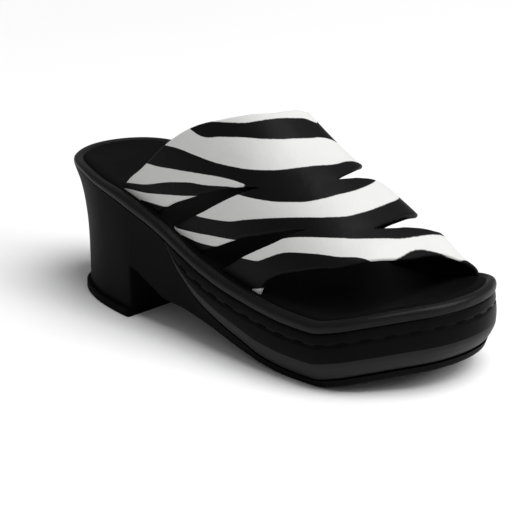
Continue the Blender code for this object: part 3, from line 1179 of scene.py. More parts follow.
@dataclass
class Upper:
    """Leather upper of three joined bands: printed outside, lined inside, with turned edges.

    The way over the foot is 0 at the lateral base and 1 at the medial base. A section is the
    curve with |cos|^(2/flank) for its reach to the sides and sin^(2/crown) for its height.
    """

    last: Last
    wall: float = 0.0024
    sunk: float = 0.55
    cut: float = 2e-5
    columns: int = 250
    inner_rows: int = 26
    rim_rows: int = 6
    past_rim: tuple[float, float] = (1.5, 2.2)
    close_reach: float = 0.008
    close_columns: int = 9
    clearance: float = 0.0012
    edge_points: int = 1600
    sunk_points: int = 40
    opening_points: tuple[int, int] = (500, 900)
    foot_points: int = 60
    section: float = 0.17

    def surface(self, share: Array, way: Array) -> Array:
        """Outer surface; a way below 0 or above 1 goes straight down into the footbed.

        Args:
            share: Shares along the length.
            way: Ways over the foot.

        Returns:
            Points of the surface.
        """
        last = self.last
        share, way = np.broadcast_arrays(np.asarray(share, float), np.asarray(way, float))
        down = np.maximum(0, np.maximum(-way, way - 1))
        angle = np.pi * np.clip(way, 0, 1)
        lateral = last.half_width(share, Side.LATERAL) - last.strap_inset
        medial = last.half_width(share, Side.MEDIAL) - last.strap_inset
        ridge = last.ball_width * ARCH.read("ridge", share)
        reach = np.abs(np.cos(angle)) ** (2 / ARCH.read("flank", share))
        lift = np.sin(angle) ** (2 / ARCH.read("crown", share))
        side = np.where(angle <= np.pi / 2, lateral - ridge, -(medial + ridge))
        u = share * last.length
        height = last.instep * ARCH.read("height", share) * lift
        z = last.bed(u) + height - last.pad_at(u) * down
        return last.place(u, ridge + reach * side, z)

    def normal(self, share: Array, way: Array) -> Array:
        """Outward direction of the surface, turned level towards the base.

        Args:
            share: Shares along the length.
            way: Ways over the foot.

        Returns:
            Unit normals.
        """
        small = 2e-3
        foot = 0.03
        inside = np.clip(way, small, 1 - small)
        across = self.surface(share, inside + small) - self.surface(share, inside - small)
        along = self.surface(share + small, inside) - self.surface(share - small, inside)
        normal = np.cross(along, across)
        distance = np.minimum(np.clip(way, 0, 1), 1 - np.clip(way, 0, 1))
        normal[..., 2] *= np.clip(distance / foot, 0, 1)
        return normal / np.linalg.norm(normal, axis=-1, keepdims=True)

    def seam(self, index: int, name: str, way: Array) -> Array:
        """One side of an opening; between the two openings' points the bands are one.

        Args:
            index: Number of the opening: 0 towards the instep, 1 towards the toes.
            name: Side of the opening, rear or front.
            way: Ways over the foot.

        Returns:
            The shares along the length.
        """
        lateral = LATERAL_OPENINGS[index]
        medial = MEDIAL_OPENINGS[index]
        points = (lateral["way"][-1], medial["way"][0])
        joined = np.interp(way, points, (lateral["rear"][-1], medial["rear"][0]))
        outer = lateral.read(name, way)
        inner = medial.read(name, way)
        return np.where(way < points[0], outer, np.where(way > points[1], inner, joined))

    def bands(self, way: Array) -> tuple[tuple[Array, Array], ...]:
        """Rear and front line of each band over the ways, from the instep to the toes.

        Args:
            way: Ways over the foot.

        Returns:
            Each band's rear and front shares.
        """
        return (
            (EDGES.read("rear", way), self.seam(0, "rear", way)),
            (self.seam(0, "front", way), self.seam(1, "rear", way)),
            (self.seam(1, "front", way), EDGES.read("front", way)),
        )

    def ways(self) -> Array:
        """Columns over the foot: even, closer at the openings' points, and two below each base.

        Returns:
            The ways, rising.
        """
        even = np.linspace(0, 1, self.columns)
        points = {table["way"][-1] for table in LATERAL_OPENINGS}
        points |= {table["way"][0] for table in MEDIAL_OPENINGS}
        around = np.linspace(-self.close_reach, self.close_reach, self.close_columns)
        close = np.concatenate([point + around for point in sorted(points)])
        apart = np.abs(even[:, None] - close[None, :]).min(axis=1) > self.clearance
        over = np.unique(np.round(np.concatenate((even[apart], close)), 6))
        below = np.array((-self.sunk, -self.sunk / 2))
        return np.concatenate((below, over, 1 - below[::-1]))

    def borders(self) -> list[Array]:
        """Cut edges of the upper as fine polylines on the outer surface.

        Returns:
            The lines, one for each cut edge.
        """
        way = np.linspace(-self.sunk, 1 + self.sunk, self.edge_points)
        inside = np.clip(way, 0, 1)
        lines = [self.surface(EDGES.read(name, inside), way) for name in ("rear", "front")]
        lower = np.linspace(-self.sunk, 0, self.sunk_points)[:-1]
        upper = np.linspace(1, 1 + self.sunk, self.sunk_points)[1:]
        lateral_points, medial_points = self.opening_points
        for index, (lateral, medial) in enumerate(zip(LATERAL_OPENINGS, MEDIAL_OPENINGS)):
            to_point = np.linspace(0, lateral["way"][-1], lateral_points)
            from_point = np.linspace(medial["way"][0], 1, medial_points)
            for part in (np.append(lower, to_point), np.append(from_point, upper)):
                kept = np.clip(part, 0, 1)
                for name in ("rear", "front"):
                    lines.append(self.surface(self.seam(index, name, kept), part))
        return lines

    def rows_of(self, width: Array) -> Array:
        """Shares across a band of the given widths: close rows over the rounded rims, even between.

        A rim row lies at (1 - cos a) of the rim's radius from the edge, for even angles a.

        Args:
            width: Width of the band at each way.

        Returns:
            Shares across the band, as (rows, ways).
        """
        radius = self.wall / 2
        rim = radius * (1 - np.cos(np.linspace(0, np.pi / 2, self.rim_rows + 1)))
        past = radius * np.array(self.past_rim)
        rim = np.concatenate((rim, past))[:, None] / width[None]
        even = np.linspace(0, 1, self.inner_rows + 1)[1:-1, None]
        middle = rim[-1] + even * (1 - 2 * rim[-1])
        return np.concatenate((rim, middle, 1 - rim[::-1]))

    def relief(self, way: Array, share: Array) -> Array:
        """Height of the listed creases: a bell across each, fading at its ends.

        Args:
            way: Ways over the foot.
            share: Shares along the length.

        Returns:
            The heights in metres.
        """
        scale = np.array((self.section, self.last.length))
        place = np.stack((np.clip(way, 0, 1), share), axis=-1) * scale
        total = np.zeros(place.shape[:-1])
        for crease in CREASES:
            start = np.array(crease.start) * scale
            reach = np.array(crease.end) * scale - start
            size = np.linalg.norm(reach)
            along = ((place - start) @ reach) / size**2
            beside = (place - start) @ np.array((-reach[1], reach[0])) / size
            fade = np.clip(1 - (2 * along - 1) ** 2, 0, 1)
            total += crease.height * fade * np.exp(-((beside / crease.width) ** 2))
        return total

    def stripe(self, way: Array, share: Array) -> Array:
        """Signed depth inside the printed stripes: the deepest of all of them.

        Args:
            way: Ways over the foot.
            share: Shares along the length.

        Returns:
            The depths in metres, negative outside every stripe.
        """
        depths = [stripe.depth(way, share, self.last.length) for stripe in STRIPES]
        return np.max(depths, axis=0)

    def build(self, outside: Material, lining: Material) -> Object:
        """The closed wall with half-round rims.

        At a distance x from the nearest cut edge, the outer face lies r - sqrt(r^2 - (r - x)^2)
        under the surface, with r half the wall, and the inner face as far above the wall's inside.

        Args:
            outside: Printed leather.
            lining: Lining leather.

        Returns:
            The piece.
        """
        ways = self.ways()
        borders = self.borders()
        radius = self.wall / 2
        sheet = Sheet()
        for rear, front in self.bands(np.clip(ways, 0, 1)):
            ends = self.surface(front, ways) - self.surface(rear, ways)
            rows = self.rows_of(np.linalg.norm(ends, axis=-1))
            share = rear[None] + rows * (front - rear)[None]
            way = np.broadcast_to(ways[None], share.shape)
            surface = self.surface(share, way)
            normal = self.normal(share, way)
            edge = np.minimum(distance_to_lines(surface, borders), radius)
            edge[[0, -1]] = np.where(edge[[0, -1]] < self.cut, 0.0, edge[[0, -1]])
            depth = radius - np.sqrt(np.maximum(0, radius**2 - (radius - edge) ** 2))
            lift = self.relief(way, share)
            outer = surface + (lift - depth)[..., None] * normal
            inner = surface + (lift - self.wall + depth)[..., None] * normal
            stripe = self.stripe(np.clip(way, 0, 1), share)
            uv = np.stack((way, share), axis=-1)
            sheet.add(outer, uv, 0, stripe=stripe)
            sheet.add(inner[::-1], uv[::-1], 1)
            for column in (0, -1):
                ends = np.stack((outer[:, column], inner[:, column]), axis=1)
                sheet.add(ends, np.stack((uv[:, column], uv[:, column]), axis=1), 1)
        piece = sheet.build("upper_wall", (outside, lining))
        return dress(piece, ("upper",))

    def feet(self) -> list[Array]:
        """Plan lines (x, y) of the strap feet, along the middle of the wall.

        Returns:
            The lines, one for each foot.
        """
        lines = []
        for base in (0.0, 1.0):
            for rear, front in self.bands(np.array((base,))):
                share = np.linspace(rear[0], front[0], self.foot_points)
                way = np.full(self.foot_points, base)
                point = self.surface(share, way)
                inward = self.normal(share, way) * (-self.wall / 2)
                lines.append((point + inward)[:, :2])
        return lines


# The footbed's rolled edge from its lower to its upper rim, as shares of the pad's thickness.
ROLLED_EDGE = Table(
    ("turn", "inset", "height"),
    (
        (0.00, 0.080, 0.00), (0.10, 0.000, 0.06), (0.22, -0.045, 0.20), (0.36, -0.050, 0.42),
        (0.50, 0.000, 0.64), (0.64, 0.110, 0.81), (0.78, 0.290, 0.93), (0.90, 0.520, 0.985),
        (1.00, 0.800, 1.00),
    ),
)


@dataclass
class Footbed:
    """Padded insole: a rolled binding round the edge, a sewn groove, and a soft crowned pad."""

    last: Last
    feet: list[Array]
    columns: int = 420
    rungs: int = 84
    binding: float = 0.0046
    reach: float = 0.0086
    groove: float = 0.0008
    groove_width: float = 0.0009
    crown: float = 0.0006
    crown_width: float = 0.006
    tuck: float = 0.0011
    tuck_width: float = 0.0018
    rolled: float = 0.935
    edge_rows: int = 22
    binding_rows: int = 11
    pad_rows: int = 22
    cup_width: float = 0.6

    def relief(self, points: Array, inset: Array) -> Array:
        """Height added to the top: a groove at the binding, a crown inside it, tucks at the straps.

        Args:
            points: Places on the top.
            inset: How far inside the outline they are.

        Returns:
            The heights: bells for the groove and the tucks, a quarter sine for the crown.
        """
        groove = -self.groove * np.exp(-(((inset - self.binding) / self.groove_width) ** 2))
        inside = np.clip((inset - self.binding) / self.crown_width, 0, 1)
        return groove + self.crown * np.sin(inside * np.pi / 2) + self.tucks(points)

    def tucks(self, points: Array) -> Array:
        """Depth of the pad's dents at the strap feet, a bell across each foot's line.

        Args:
            points: Places on the top.

        Returns:
            The depths, zero or less.
        """
        strap = distance_to_lines(points[..., :2], self.feet)
        return -self.tuck * np.exp(-((strap / self.tuck_width) ** 2))

    def rings(self) -> tuple[Array, int]:
        """Rings over the rolled edge, across the binding to its groove, and on to the pad.

        Returns:
            The rings as a grid of points, and the number of the ring in the groove.
        """
        last = self.last
        angles = np.linspace(0, 2 * np.pi, self.columns + 1)
        u0, _ = last.rim(angles)
        pad = last.pad_at(np.clip(u0, 0, last.length))
        turn = np.linspace(0, self.rolled, self.edge_rows)
        edge = zip(ROLLED_EDGE.read("inset", turn), ROLLED_EDGE.read("height", turn))
        rows = [(height, inset * pad, 0.0) for inset, height in edge]
        height, first, _ = rows[-1]
        for share in np.linspace(0, 1, self.binding_rows)[1:]:
            inset = first + (self.binding - first) * share
            rows.append((height + (1 - height) * share, inset, 1.0))
        bound = len(rows) - 1
        for inset in np.linspace(self.binding, self.reach, self.pad_rows)[1:]:
            rows.append((1.0, np.full_like(pad, inset), 1.0))
        rings = []
        for height, inset, worked in rows:
            u, v = last.rim(angles, inset)
            u = np.clip(u, 0, last.length)
            ring = last.place(u, v, last.top(u) + last.gap + height * last.pad_at(u))
            ring[:, 2] += worked * self.relief(ring, inset)
            rings.append(ring)
        grid = np.array(rings)
        grid[:, -1] = grid[:, 0]
        return grid, bound

    def build(self, pad_leather: Material, binding: Material) -> Object:
        """Rings round the edge, then a ladder of rungs across the pad and another underneath.

        Args:
            pad_leather: Leather of the pad.
            binding: Leather of the rolled binding.

        Returns:
            The piece.
        """
        rings, bound = self.rings()
        half = self.columns // 2
        sheet = Sheet()
        sheet.add(rings[: bound + 1], material=1)
        sheet.add(rings[bound:])
        sheet.add(self.pad_surface(rings[-1, : half + 1], rings[-1, ::-1][: half + 1]))
        sheet.ladder(rings[0, : half + 1], rings[0, ::-1][: half + 1], 4, material=1)
        piece = sheet.build("footbed_pad", (pad_leather, binding))
        return dress(piece, ("footbed",))

    def pad_surface(self, lateral: Array, medial: Array) -> Array:
        """The pad inside the rings, cupped along its middle and tucked in at the straps.

        The middle lies cup * 4t(1 - t) lower, with t the share of the way across.

        Args:
            lateral: Points of the innermost ring on the lateral side, heel to toe.
            medial: The same number of points on the medial side.

        Returns:
            The pad as a grid of points.
        """
        across = np.linspace(0, 1, self.rungs + 1)[:, None, None]
        grid = lateral[None] * (1 - across) + medial[None] * across
        width = np.linalg.norm(lateral - medial, axis=-1)
        t = across[..., 0]
        ends = np.clip(width / (self.cup_width * self.last.ball_width), 0, 1)[None]
        grid[..., 2] -= self.last.cup * 4 * t * (1 - t) * ends
        tuck = self.tucks(grid)
        already = tuck[0][None] * (1 - t) + tuck[-1][None] * t
        grid[..., 2] += tuck - already
        return grid


# The platform's side down its depth, as shares of its bulge and of its tuck.
PLATFORM_SIDE = Table(
    ("depth", "bulge", "tuck"),
    (
        (0.00, -0.55, 0.00), (0.05, -0.10, 0.00), (0.25, 0.55, 0.00), (0.50, 1.00, 0.00),
        (0.66, 1.00, 0.06), (0.80, 0.70, 0.34), (0.94, 0.20, 0.84), (1.00, -0.35, 1.10),
    ),
)


@dataclass
class Platform:
    """Wrapped wedge: a bulging side with a sewn row round it, tucked in at the bottom."""

    last: Last
    nose: float = 0.0010
    tuck: float = 0.0024
    columns: int = 460
    rows: int = 56
    rungs: int = 6
    rand_depth: float = 0.60
    stitch_depth: float = 0.0054
    stitch_share: float = 0.40
    groove: float = 0.00045
    groove_width: float = 0.0009

    def stitch_line(self, u: Array) -> Array:
        """Depth of the sewn row under the platform's top, less where the wedge is thin."""
        return np.minimum(self.stitch_depth, self.stitch_share * self.last.wedge(u))

    def wall(self, angles: Array, depth: Array, lift: float = 0.0) -> Array:
        """Points of the side at a share of its depth, raised by lift along the plan normal.

        Args:
            angles: Angles round the outline.
            depth: Shares of the depth.
            lift: How far outwards the points are raised.

        Returns:
            The points.
        """
        last = self.last
        u0, _ = last.rim(angles)
        full = last.wedge(u0) / last.platform
        bulge = last.bulge * PLATFORM_SIDE.read("bulge", depth)
        tuck = self.tuck * PLATFORM_SIDE.read("tuck", depth)
        below = depth * last.wedge(u0)
        groove = self.groove * np.exp(-(((below - self.stitch_line(u0)) / self.groove_width) ** 2))
        u, v = last.rim(angles, (tuck - bulge) * full + groove * full - lift)
        u = np.minimum(u, last.length + last.bulge)
        return last.place(u, v, last.top(u0) - depth * last.wedge(u0))

    def build(self, wrap_painted_shade: Material, rand_painted_light: Material) -> Object:
        """The side as a grid of depths round the toe, closed above, below and at the nose.

        Args:
            wrap_painted_shade: Leather of the sewn band and closing faces, painted darker: painted
                shade.
            rand_painted_light: Leather of the lower band, its colour painted paler: painted light.

        Returns:
            The piece.
        """
        start = angle_of(self.last.nose_share(self.nose))
        angles = np.linspace(start, 2 * np.pi - start, self.columns + 1)
        depth = np.linspace(0, 1, self.rows + 1)
        grid = np.array([self.wall(angles, np.full_like(angles, d)) for d in depth])
        half = self.columns // 2
        split = round(self.rand_depth * self.rows)
        sheet = Sheet()
        # Painted shade and light: the sewn band takes the leather painted darker, the lower band the
        # one painted paler.
        sheet.add(grid[: split + 1])
        sheet.add(grid[split:], material=1)
        for row in (0, -1):
            sheet.ladder(grid[row, : half + 1], grid[row, ::-1][: half + 1], self.rungs)
        sheet.ladder(grid[:, 0], grid[:, -1], self.rungs)
        return dress(sheet.build("platform_wrap", (wrap_painted_shade, rand_painted_light)), ("platform",))


@dataclass
class Stitches:
    """The row of long stitches round the platform's side."""

    last: Last
    platform: Platform
    pitch: float = 0.0112
    stitch: float = 0.0066
    thickness: float = 0.00085
    along: int = 14
    around: int = 8
    raised: float = 0.15
    dive: float = 0.5
    samples: int = 4000
    start_share: float = 0.435

    def build(self, material: Material) -> Object:
        """Each stitch is a bent rod along the row, its radius falling to nothing at both ends.

        The radius at a share s of the stitch is the full one times (1 - (2s - 1)^6)^(1/2).

        Args:
            material: Thread.

        Returns:
            The piece.
        """
        start = angle_of(self.start_share)
        angles = np.linspace(start, 2 * np.pi - start, self.samples)
        u, _ = self.last.rim(angles)
        depth = self.platform.stitch_line(u) / self.last.wedge(u)
        row = self.platform.wall(angles, depth)
        out = self.platform.wall(angles, depth, MILLIMETRE) - row
        length = np.concatenate(((0,), np.linalg.norm(np.diff(row, axis=0), axis=-1).cumsum()))
        count = int(length[-1] // self.pitch)
        first = (length[-1] - (count - 1) * self.pitch - self.stitch) / 2
        share = np.linspace(0, 1, self.along + 1)
        at = first + self.pitch * np.arange(count)[:, None] + self.stitch * share[None]
        middle = np.stack([np.interp(at, length, row[:, k]) for k in range(3)], axis=-1)
        outward = np.stack([np.interp(at, length, out[:, k]) for k in range(3)], axis=-1)
        outward /= np.linalg.norm(outward, axis=-1, keepdims=True)
        forward = np.gradient(middle, axis=1)
        forward /= np.linalg.norm(forward, axis=-1, keepdims=True)
        upward = np.cross(forward, outward)
        radius = self.thickness / 2 * np.sqrt(np.maximum(0, 1 - (2 * share - 1) ** 6))
        turn = np.linspace(0, 2 * np.pi, self.around + 1)
        dip = (self.raised - self.dive * (2 * share - 1) ** 4) * self.thickness
        core = middle + dip[None, :, None] * outward
        ring = np.cos(turn)[:, None] * outward[:, :, None]
        ring += np.sin(turn)[:, None] * upward[:, :, None]
        points = core[:, :, None] + radius[None, :, None, None] * ring
        points[:, :, -1] = points[:, :, 0]
        around = turn[None, None] * self.thickness / 2
        uv = np.stack(np.broadcast_arrays(around, at[:, :, None]), axis=-1)
        sheet = Sheet()
        for grid, coordinates in zip(points, uv):
            sheet.add(grid, coordinates)
        return dress(sheet.build("platform_stitches", (material,)))


def corner_inset(distance: Array, radius: Array | float) -> Array:
    """Quarter-circle rounding: how far a wall moves in at a distance from the corner.

    Within the radius it is radius - sqrt(radius^2 - (radius - distance)^2), and beyond it nothing.

    Args:
        distance: Distances from the corner.
        radius: Radius of the rounding.

    Returns:
        The insets.
    """
    short = np.maximum(0, radius - np.maximum(0, distance))
    return radius - np.sqrt(np.maximum(0, radius**2 - short**2))


def corner_angles(last: Last, radius: float, turns: int) -> Array:
    """Angles of the columns that round a corner at the heel's breast.

    Args:
        last: The shoe's last.
        radius: Radius of the rounding.
        turns: Number of columns, at even angles of the quarter circle.

    Returns:
        The outline's angles there, on the lateral side.
    """
    turn = np.linspace(0, np.pi / 2, turns + 1)[1:]
    return angle_of((last.breast - radius * (1 - np.cos(turn))) / last.length)


@dataclass(frozen=True)
class Tread:
    """Grooves across an underside: pitch, half widths at the mouth and at the floor, and depth."""

    pitch: float = 0.0052
    mouth: float = 0.0011
    floor: float = 0.0008
    depth: float = 0.0007
    margin: float = 0.0050
    slope: float = 0.0004
    edge_limit: float = 0.42
    foot_limit: float = 0.46
    narrowest: float = 3.0

    def middles(self, first: float, last: float) -> Array:
        """Places of the grooves along the length.

        Args:
            first: Start of the underside along the length.
            last: Its end.

        Returns:
            The places.
        """
        plain = self.margin + self.mouth
        return np.arange(first + plain, last - plain, self.pitch)

    def edges(self, first: float, last: float) -> Array:
        """Lines along the length where the mesh needs columns: both mouths and both floors.

        Args:
            first: Start of the underside along the length.
            last: Its end.

        Returns:
            The places of the lines.
        """
        offsets = np.array((-self.mouth, -self.floor, self.floor, self.mouth))
        return (self.middles(first, last)[:, None] + offsets).ravel()

    def plain(self, near: Array, far: Array) -> Array:
        """Straight surface between two lines, with rungs at the margins and the middle.

        Args:
            near: Points along one side.
            far: The matching points along the other side.

        Returns:
            A grid of points.
        """
        width = np.maximum(np.linalg.norm(far - near, axis=-1), WELD)
        edge = np.minimum(self.margin / width, self.edge_limit)
        foot = np.minimum((self.margin + self.slope) / width, self.foot_limit)
        start = 0 * edge
        rungs = (start, edge, foot, start + 0.5, 1 - foot, 1 - edge, start + 1)
        t = np.array(rungs)[..., None]
        return near[None] * (1 - t) + far[None] * t

    def grooved(self, near: Array, far: Array, u: Array, first: float, last: float) -> Array:
        """Underside between two lines of points, with grooves inside a plain margin.

        Args:
            near: Points along one side.
            far: The matching points along the other side.
            u: Their places along the length.
            first: Start of the underside along the length.
            last: Its end.

        Returns:
            A grid of points, raised into the grooves.
        """
        grid = self.plain(near, far)
        apart = np.abs(u[:, None] - self.middles(first, last)[None]).min(axis=1)
        sunk = np.clip((self.mouth - apart) / (self.mouth - self.floor), 0, 1)
        wide = np.linalg.norm(far - near, axis=-1) > self.narrowest * self.margin
        # The rungs of the plain surface that lie inside both margins.
        inside = slice(2, 5)
        grid[inside, :, 2] += self.depth * np.where(wide, sunk, 0.0)
        return grid


# The heel's back down its depth, as shares of its hollow.
HEEL_BACK = Table(
    ("depth", "inset"),
    ((0.00, 0.00), (0.14, 0.48), (0.30, 0.77), (0.50, 0.95), (0.70, 1.00), (1.00, 1.00)),
)


@dataclass
class SoleUnit:
    """Heel, arch and thin forepart, moulded in one, with rounded lower edges and a grooved sole."""

    last: Last
    tip: float
    hollow: float = 0.0129
    outsole_inset: float = 0.0036
    tuck: float = 0.0024
    edge_radius: float = 0.0012
    corner_radius: float = 0.0014
    fade: float = 0.006
    thin_share: float = 0.4
    inset_rate: float = 3.0
    columns: int = 320
    levels: int = 18
    lower_levels: int = 14
    first_step: float = 0.008
    turns: int = 6
    tread: Tread = Tread()

    def heel(self, angles: Array, height: Array, rounded: bool) -> Array:
        """Points of the heel's side, hollowed towards the back.

        The hollow moves a point forward by its share of the depth curve, times 1 - u / breast.

        Args:
            angles: Places round the outline.
            height: Height of the point at each angle.
            rounded: Whether the corners at the breast are rounded, as they are under the arch.

        Returns:
            The points.
        """
        last = self.last
        u0, _ = last.rim(angles)
        u0 = np.clip(u0, 0, last.breast)
        inset = corner_inset(last.breast - u0, self.corner_radius) if rounded else 0.0
        u, v = last.rim(angles, inset)
        u = np.clip(u, 0, last.breast)
        u[[0, -1]] = last.breast
        top = last.unit_top(u0)
        depth = (top - height) / (top - self.tip - last.gap)
        hollow = self.hollow * HEEL_BACK.read("inset", depth)
        return last.place(u + hollow * (1 - u / last.breast), v, height)

    def heel_wall(self, angles: Array) -> Array:
        """Side of the heel from its top, past the arch's underside, to the top piece.

        Args:
            angles: Angles round the outline.

        Returns:
            A grid of points, a row for each height.
        """
        last = self.last
        u, _ = last.rim(angles)
        u = np.clip(u, 0, last.breast)
        top = last.unit_top(u)
        middle = last.underside(u)
        ground = self.tip + last.gap
        rows = []
        for part in np.linspace(0, 1, self.levels + 1):
            rows.append(self.heel(angles, top + (middle - top) * part, False))
        for part in (self.first_step, *np.linspace(0, 1, self.lower_levels + 1)[1:]):
            rows.append(self.heel(angles, middle + (ground - middle) * part, True))
        return np.array(rows)

    def arch_wall(self, angles: Array) -> Array:
        """Side of arch and forepart down to the underside, its lower edge a quarter circle.

        Args:
            angles: Angles round the outline.

        Returns:
            A grid of points, a row for each depth.
        """
        last = self.last
        u0, _ = last.rim(angles)
        full = last.wedge(u0) / last.platform
        forward = np.clip((u0 - last.breast) / (last.length - last.breast), 0, 1)
        thick = last.unit_top(u0) - last.underside(u0)
        grown = np.clip((u0 - last.breast) / self.fade, 0, 1)
        radius = np.minimum(self.edge_radius, self.thin_share * thick) * grown
        straight = np.linspace(0, 1, self.levels + 1)[:, None] * (thick - radius)
        turn = np.linspace(0, np.pi / 2, self.turns + 1)[1:, None]
        depth = np.concatenate((straight, thick - radius + radius * np.sin(turn)))
        rounding = np.concatenate((0 * straight, radius * (1 - np.cos(turn))))
        part = depth / thick
        under = self.outsole_inset * np.minimum(1, self.inset_rate * forward)
        inset = self.tuck * full * (1 - part) + under * part
        rows = []
        for row_inset, row_depth in zip(inset + rounding, depth):
            u, v = last.rim(angles, row_inset)
            share = row_depth / thick
            height = last.unit_top(u) * (1 - share) + last.underside(u) * share
            rows.append(last.place(u, v, height))
        return np.array(rows)

    def build(self, material: Material) -> Object:
        """Side walls of the heel and of the arch, welded at the breast, then the faces between.

        Args:
            material: Moulded rubber.

        Returns:
            The piece.
        """
        last = self.last
        start = float(angle_of(last.breast / last.length))
        corner = corner_angles(last, self.corner_radius, self.turns)
        even = np.linspace(0, start, self.columns // 4 + 1)
        half_behind = np.unique(np.concatenate((even[even < corner.min()], corner, (start,))))
        behind = np.concatenate((-half_behind[:0:-1], half_behind))
        grooves = angle_of(self.tread.edges(last.breast, last.length) / last.length)
        half_ahead = np.union1d(np.linspace(start, np.pi, self.columns // 2 + 1), grooves)
        ahead = np.concatenate((half_ahead, 2 * np.pi - half_ahead[-2::-1]))
        heel = self.heel_wall(behind)
        arch = self.arch_wall(ahead)
        seam = np.minimum(np.arange(len(arch)), self.levels)
        arch[:, 0] = heel[seam, -1]
        arch[:, -1] = heel[seam, 0]
        sheet = Sheet()
        sheet.add(heel)
        sheet.add(arch)
        for ring in (heel[0], heel[-1], arch[0]):
            sheet.add(self.tread.plain(*halves(ring)))
        u, _ = last.rim(half_ahead)
        sheet.add(self.tread.grooved(*halves(arch[-1]), u, last.breast, last.length))
        sheet.add(self.tread.plain(heel[self.levels :, 0], heel[self.levels :, -1]))
        piece = sheet.build("moulded_sole", (material,))
        flat_shading(piece)
        return dress(piece, ("sole_unit",))


def halves(ring: Array) -> tuple[Array, Array]:
    """The first half of a line of points, and the second half run backwards, middle included."""
    middle = len(ring) // 2
    return ring[: middle + 1], ring[::-1][: middle + 1]


@dataclass
class HeelTip:
    """Rubber top piece under the heel, standing out round its back, grooved underneath."""

    last: Last
    thickness: float
    hollow: float = 0.0129
    lip: float = 0.0022
    edge_radius: float = 0.0005
    corner_radius: float = 0.0010
    columns: int = 160
    turns: int = 5
    back_clearance: float = 0.002
    tread: Tread = Tread(margin=0.0040)

    def ring(self, angles: Array, inset: float, height: float) -> Array:
        """The heel's outline moved out by the lip less an inset, with rounded breast corners.

        Args:
            angles: Angles round the outline.
            inset: How far inside its own outline the ring lies.
            height: Height over the floor.

        Returns:
            The points.
        """
        last = self.last
        u0, _ = last.rim(angles)
        u0 = np.clip(u0, 0, last.breast)
        corner = corner_inset(last.breast - u0, self.corner_radius)
        u, v = last.rim(angles, inset + corner - self.lip)
        u = np.minimum(u + self.hollow * (1 - u0 / last.breast), last.breast)
        u[[0, -1]] = last.breast
        return last.place(u, v, np.full_like(u, height))

    def build(self, material: Material) -> Object:
        """Rings round the side with quarter circles at both edges, closed by flat faces.

        Args:
            material: Matt rubber.

        Returns:
            The piece.
        """
        last = self.last
        start = float(angle_of(last.breast / last.length))
        turn = np.linspace(0, np.pi / 2, self.turns + 1)
        corner = corner_angles(last, self.corner_radius, self.turns)
        scale = (last.breast - self.hollow) / last.breast
        grooves = (self.tread.edges(self.hollow - self.lip, last.breast) - self.hollow) / scale
        grooves = angle_of(grooves[grooves > self.back_clearance] / last.length)
        even = np.linspace(0, start, self.columns // 2 + 1)
        half = np.unique(np.concatenate((even[even < corner.min()], corner, grooves, (start,))))
        angles = np.concatenate((-half[:0:-1], half))
        radius = self.edge_radius
        insets = radius * (1 - np.sin(turn))
        heights = self.thickness - radius * (1 - np.cos(turn))
        above = list(zip(insets, heights))
        below = [(inset, self.thickness - height) for inset, height in reversed(above)]
        grid = np.array([self.ring(angles, inset, height) for inset, height in above + below])
        near, far = halves(grid[-1])
        u = last.centre()[0] - near[:, 1]
        sheet = Sheet()
        sheet.add(grid)
        sheet.add(self.tread.plain(*halves(grid[0])))
        sheet.add(self.tread.grooved(near, far, u, self.hollow - self.lip, last.breast))
        sheet.add(self.tread.plain(grid[:, 0], grid[:, -1]))
        piece = sheet.build("heel_top_piece", (material,))
        flat_shading(piece)
        return dress(piece, ("heel_tip",))


@dataclass(frozen=True)
class Softbox:
    """A square area light that looks at a point."""

    name: str
    place: tuple[float, float, float]
    size: float
    power: float
    target: tuple[float, float, float] = (0.0, 0.0, 0.04)

    def build(self) -> None:
        """Adds the light, turned to its target."""
        lamp = bpy.data.lights.new(self.name, "AREA")
        lamp.size = self.size
        lamp.energy = self.power
        light = bpy.data.objects.new(self.name, lamp)
        bpy.context.scene.collection.objects.link(light)
        light.location = self.place
        aim = Vector(self.target) - Vector(self.place)
        light.rotation_euler = aim.to_track_quat("-Z", "Y").to_euler()


@dataclass(frozen=True)
class Sun:
    """Overhead key light with a soft edge: the direction is from the shoe towards it."""

    name: str = "overhead_key"
    direction: tuple[float, float, float] = (0.14, -0.36, 0.92)
    strength: float = 2.45
    spread: float = 45.0

    def build(self) -> None:
        """Adds the light, turned to shine down along its direction."""
        lamp = bpy.data.lights.new(self.name, "SUN")
        lamp.energy = self.strength
        lamp.angle = math.radians(self.spread)
        light = bpy.data.objects.new(self.name, lamp)
        bpy.context.scene.collection.objects.link(light)
        light.rotation_euler = (-Vector(self.direction)).to_track_quat("-Z", "Y").to_euler()


@dataclass(frozen=True)
class Studio:
    """Camera at the picture's viewing angle, soft lights and a plain world."""

    camera_place: tuple[float, float, float] = (-0.5191, -0.5041, 0.2913)
    camera_target: tuple[float, float, float] = (-0.0160, -0.0110, 0.0400)
    lens: float = 110.0
    world: Colour = (1.0, 1.0, 1.0)
    world_strength: float = 0.28
    sun: Sun = Sun()
    softbox: Softbox = Softbox("front_softbox", (0.45, -1.15, 0.9), size=0.6, power=7.0)

    def build(self) -> None:
        """Adds the lights, the world and the camera."""
        self.sun.build()
        self.softbox.build()
        scene = bpy.context.scene
        world = bpy.data.worlds.new("studio")
        world.use_nodes = True
        background = world.node_tree.nodes["Background"]
        background.inputs["Color"].default_value = (*self.world, 1.0)
        background.inputs["Strength"].default_value = self.world_strength
        scene.world = world
        scene.view_settings.view_transform = "Standard"
        lens = bpy.data.cameras.new("camera")
        lens.lens = self.lens
        lens.clip_start = 0.01
        camera = bpy.data.objects.new("camera", lens)
        scene.collection.objects.link(camera)
        camera.location = self.camera_place
        aim = Vector(self.camera_target) - Vector(self.camera_place)
        camera.rotation_euler = aim.to_track_quat("-Z", "Y").to_euler()
        scene.camera = camera


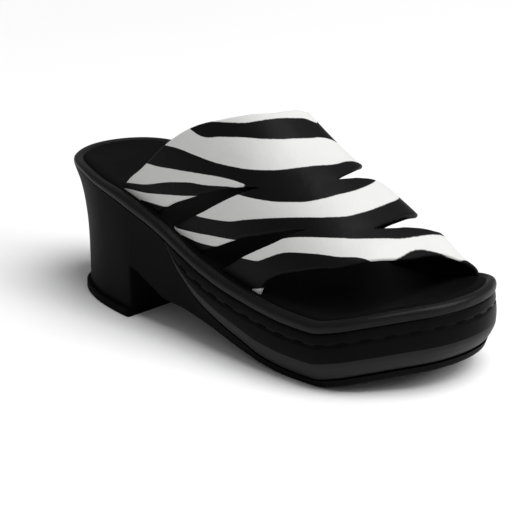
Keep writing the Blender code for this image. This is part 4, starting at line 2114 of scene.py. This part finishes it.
def clear_defaults() -> None:
    """Removes the cube, light and camera of a new file."""
    for thing in list(bpy.data.objects):
        if thing.name in ("Cube", "Light", "Camera"):
            bpy.data.objects.remove(thing, do_unlink=True)


def main() -> None:
    """Builds the shoe's pieces in order, then the studio."""
    logging.basicConfig(level=logging.INFO, format="%(name)s: %(message)s")
    clear_defaults()
    last = Last.from_frame()
    lining = BlackLeather(
        name="lining_leather",
        colour=(0.0040, 0.0040, 0.0042),
        pore=0.0006,
        pore_depth=0.00004,
        smoothest=0.45,
        roughest=0.58,
        level=0.06,
    )
    pad_leather = BlackLeather(
        name="footbed_leather",
        colour=(0.0034, 0.0034, 0.0036),
        pore=0.0009,
        pore_depth=0.00007,
        smoothest=0.50,
        roughest=0.62,
        level=0.014,
    )
    binding = BlackLeather(
        name="binding_leather",
        colour=(0.0045, 0.0045, 0.0047),
        pore=0.0008,
        pore_depth=0.00005,
        smoothest=0.36,
        roughest=0.46,
        level=0.13,
    )
    # Its colour is painted paler than the platform leather's: painted light on the platform's lower
    # band.
    rand_painted_light = BlackLeather(
        name="rand_leather_painted_light",
        colour=(0.0065, 0.0065, 0.0068),
        pore=0.0008,
        pore_depth=0.00004,
        smoothest=0.42,
        roughest=0.52,
        level=0.16,
    )
    # Its colour is painted darker than the other blacks: painted shade on the platform's sewn band.
    wrap_painted_shade = BlackLeather(
        name="platform_leather",
        colour=(0.0028, 0.0028, 0.0030),
        pore=0.0008,
        pore_depth=0.00003,
        smoothest=0.30,
        roughest=0.40,
        level=0.03,
    )
    sole_rubber = MouldedRubber(
        name="sole_rubber", colour=(0.0036, 0.0036, 0.0038), smoothest=0.38, roughest=0.50
    )
    tip_rubber = MouldedRubber(
        name="heel_tip_rubber", colour=(0.0030, 0.0030, 0.0030), smoothest=0.55, roughest=0.68
    )
    upper = Upper(last)
    upper.build(PrintedLeather().make(), lining.make())
    Footbed(last, upper.feet()).build(pad_leather.make(), binding.make())
    platform = Platform(last)
    platform.build(wrap_painted_shade.make(), rand_painted_light.make())
    Stitches(last, platform).build(Thread().make())
    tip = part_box("heel_tip")[1].z
    SoleUnit(last, tip).build(sole_rubber.make())
    HeelTip(last, tip).build(tip_rubber.make())
    Floor().build()
    Studio().build()


if __name__ == "__main__":
    main()
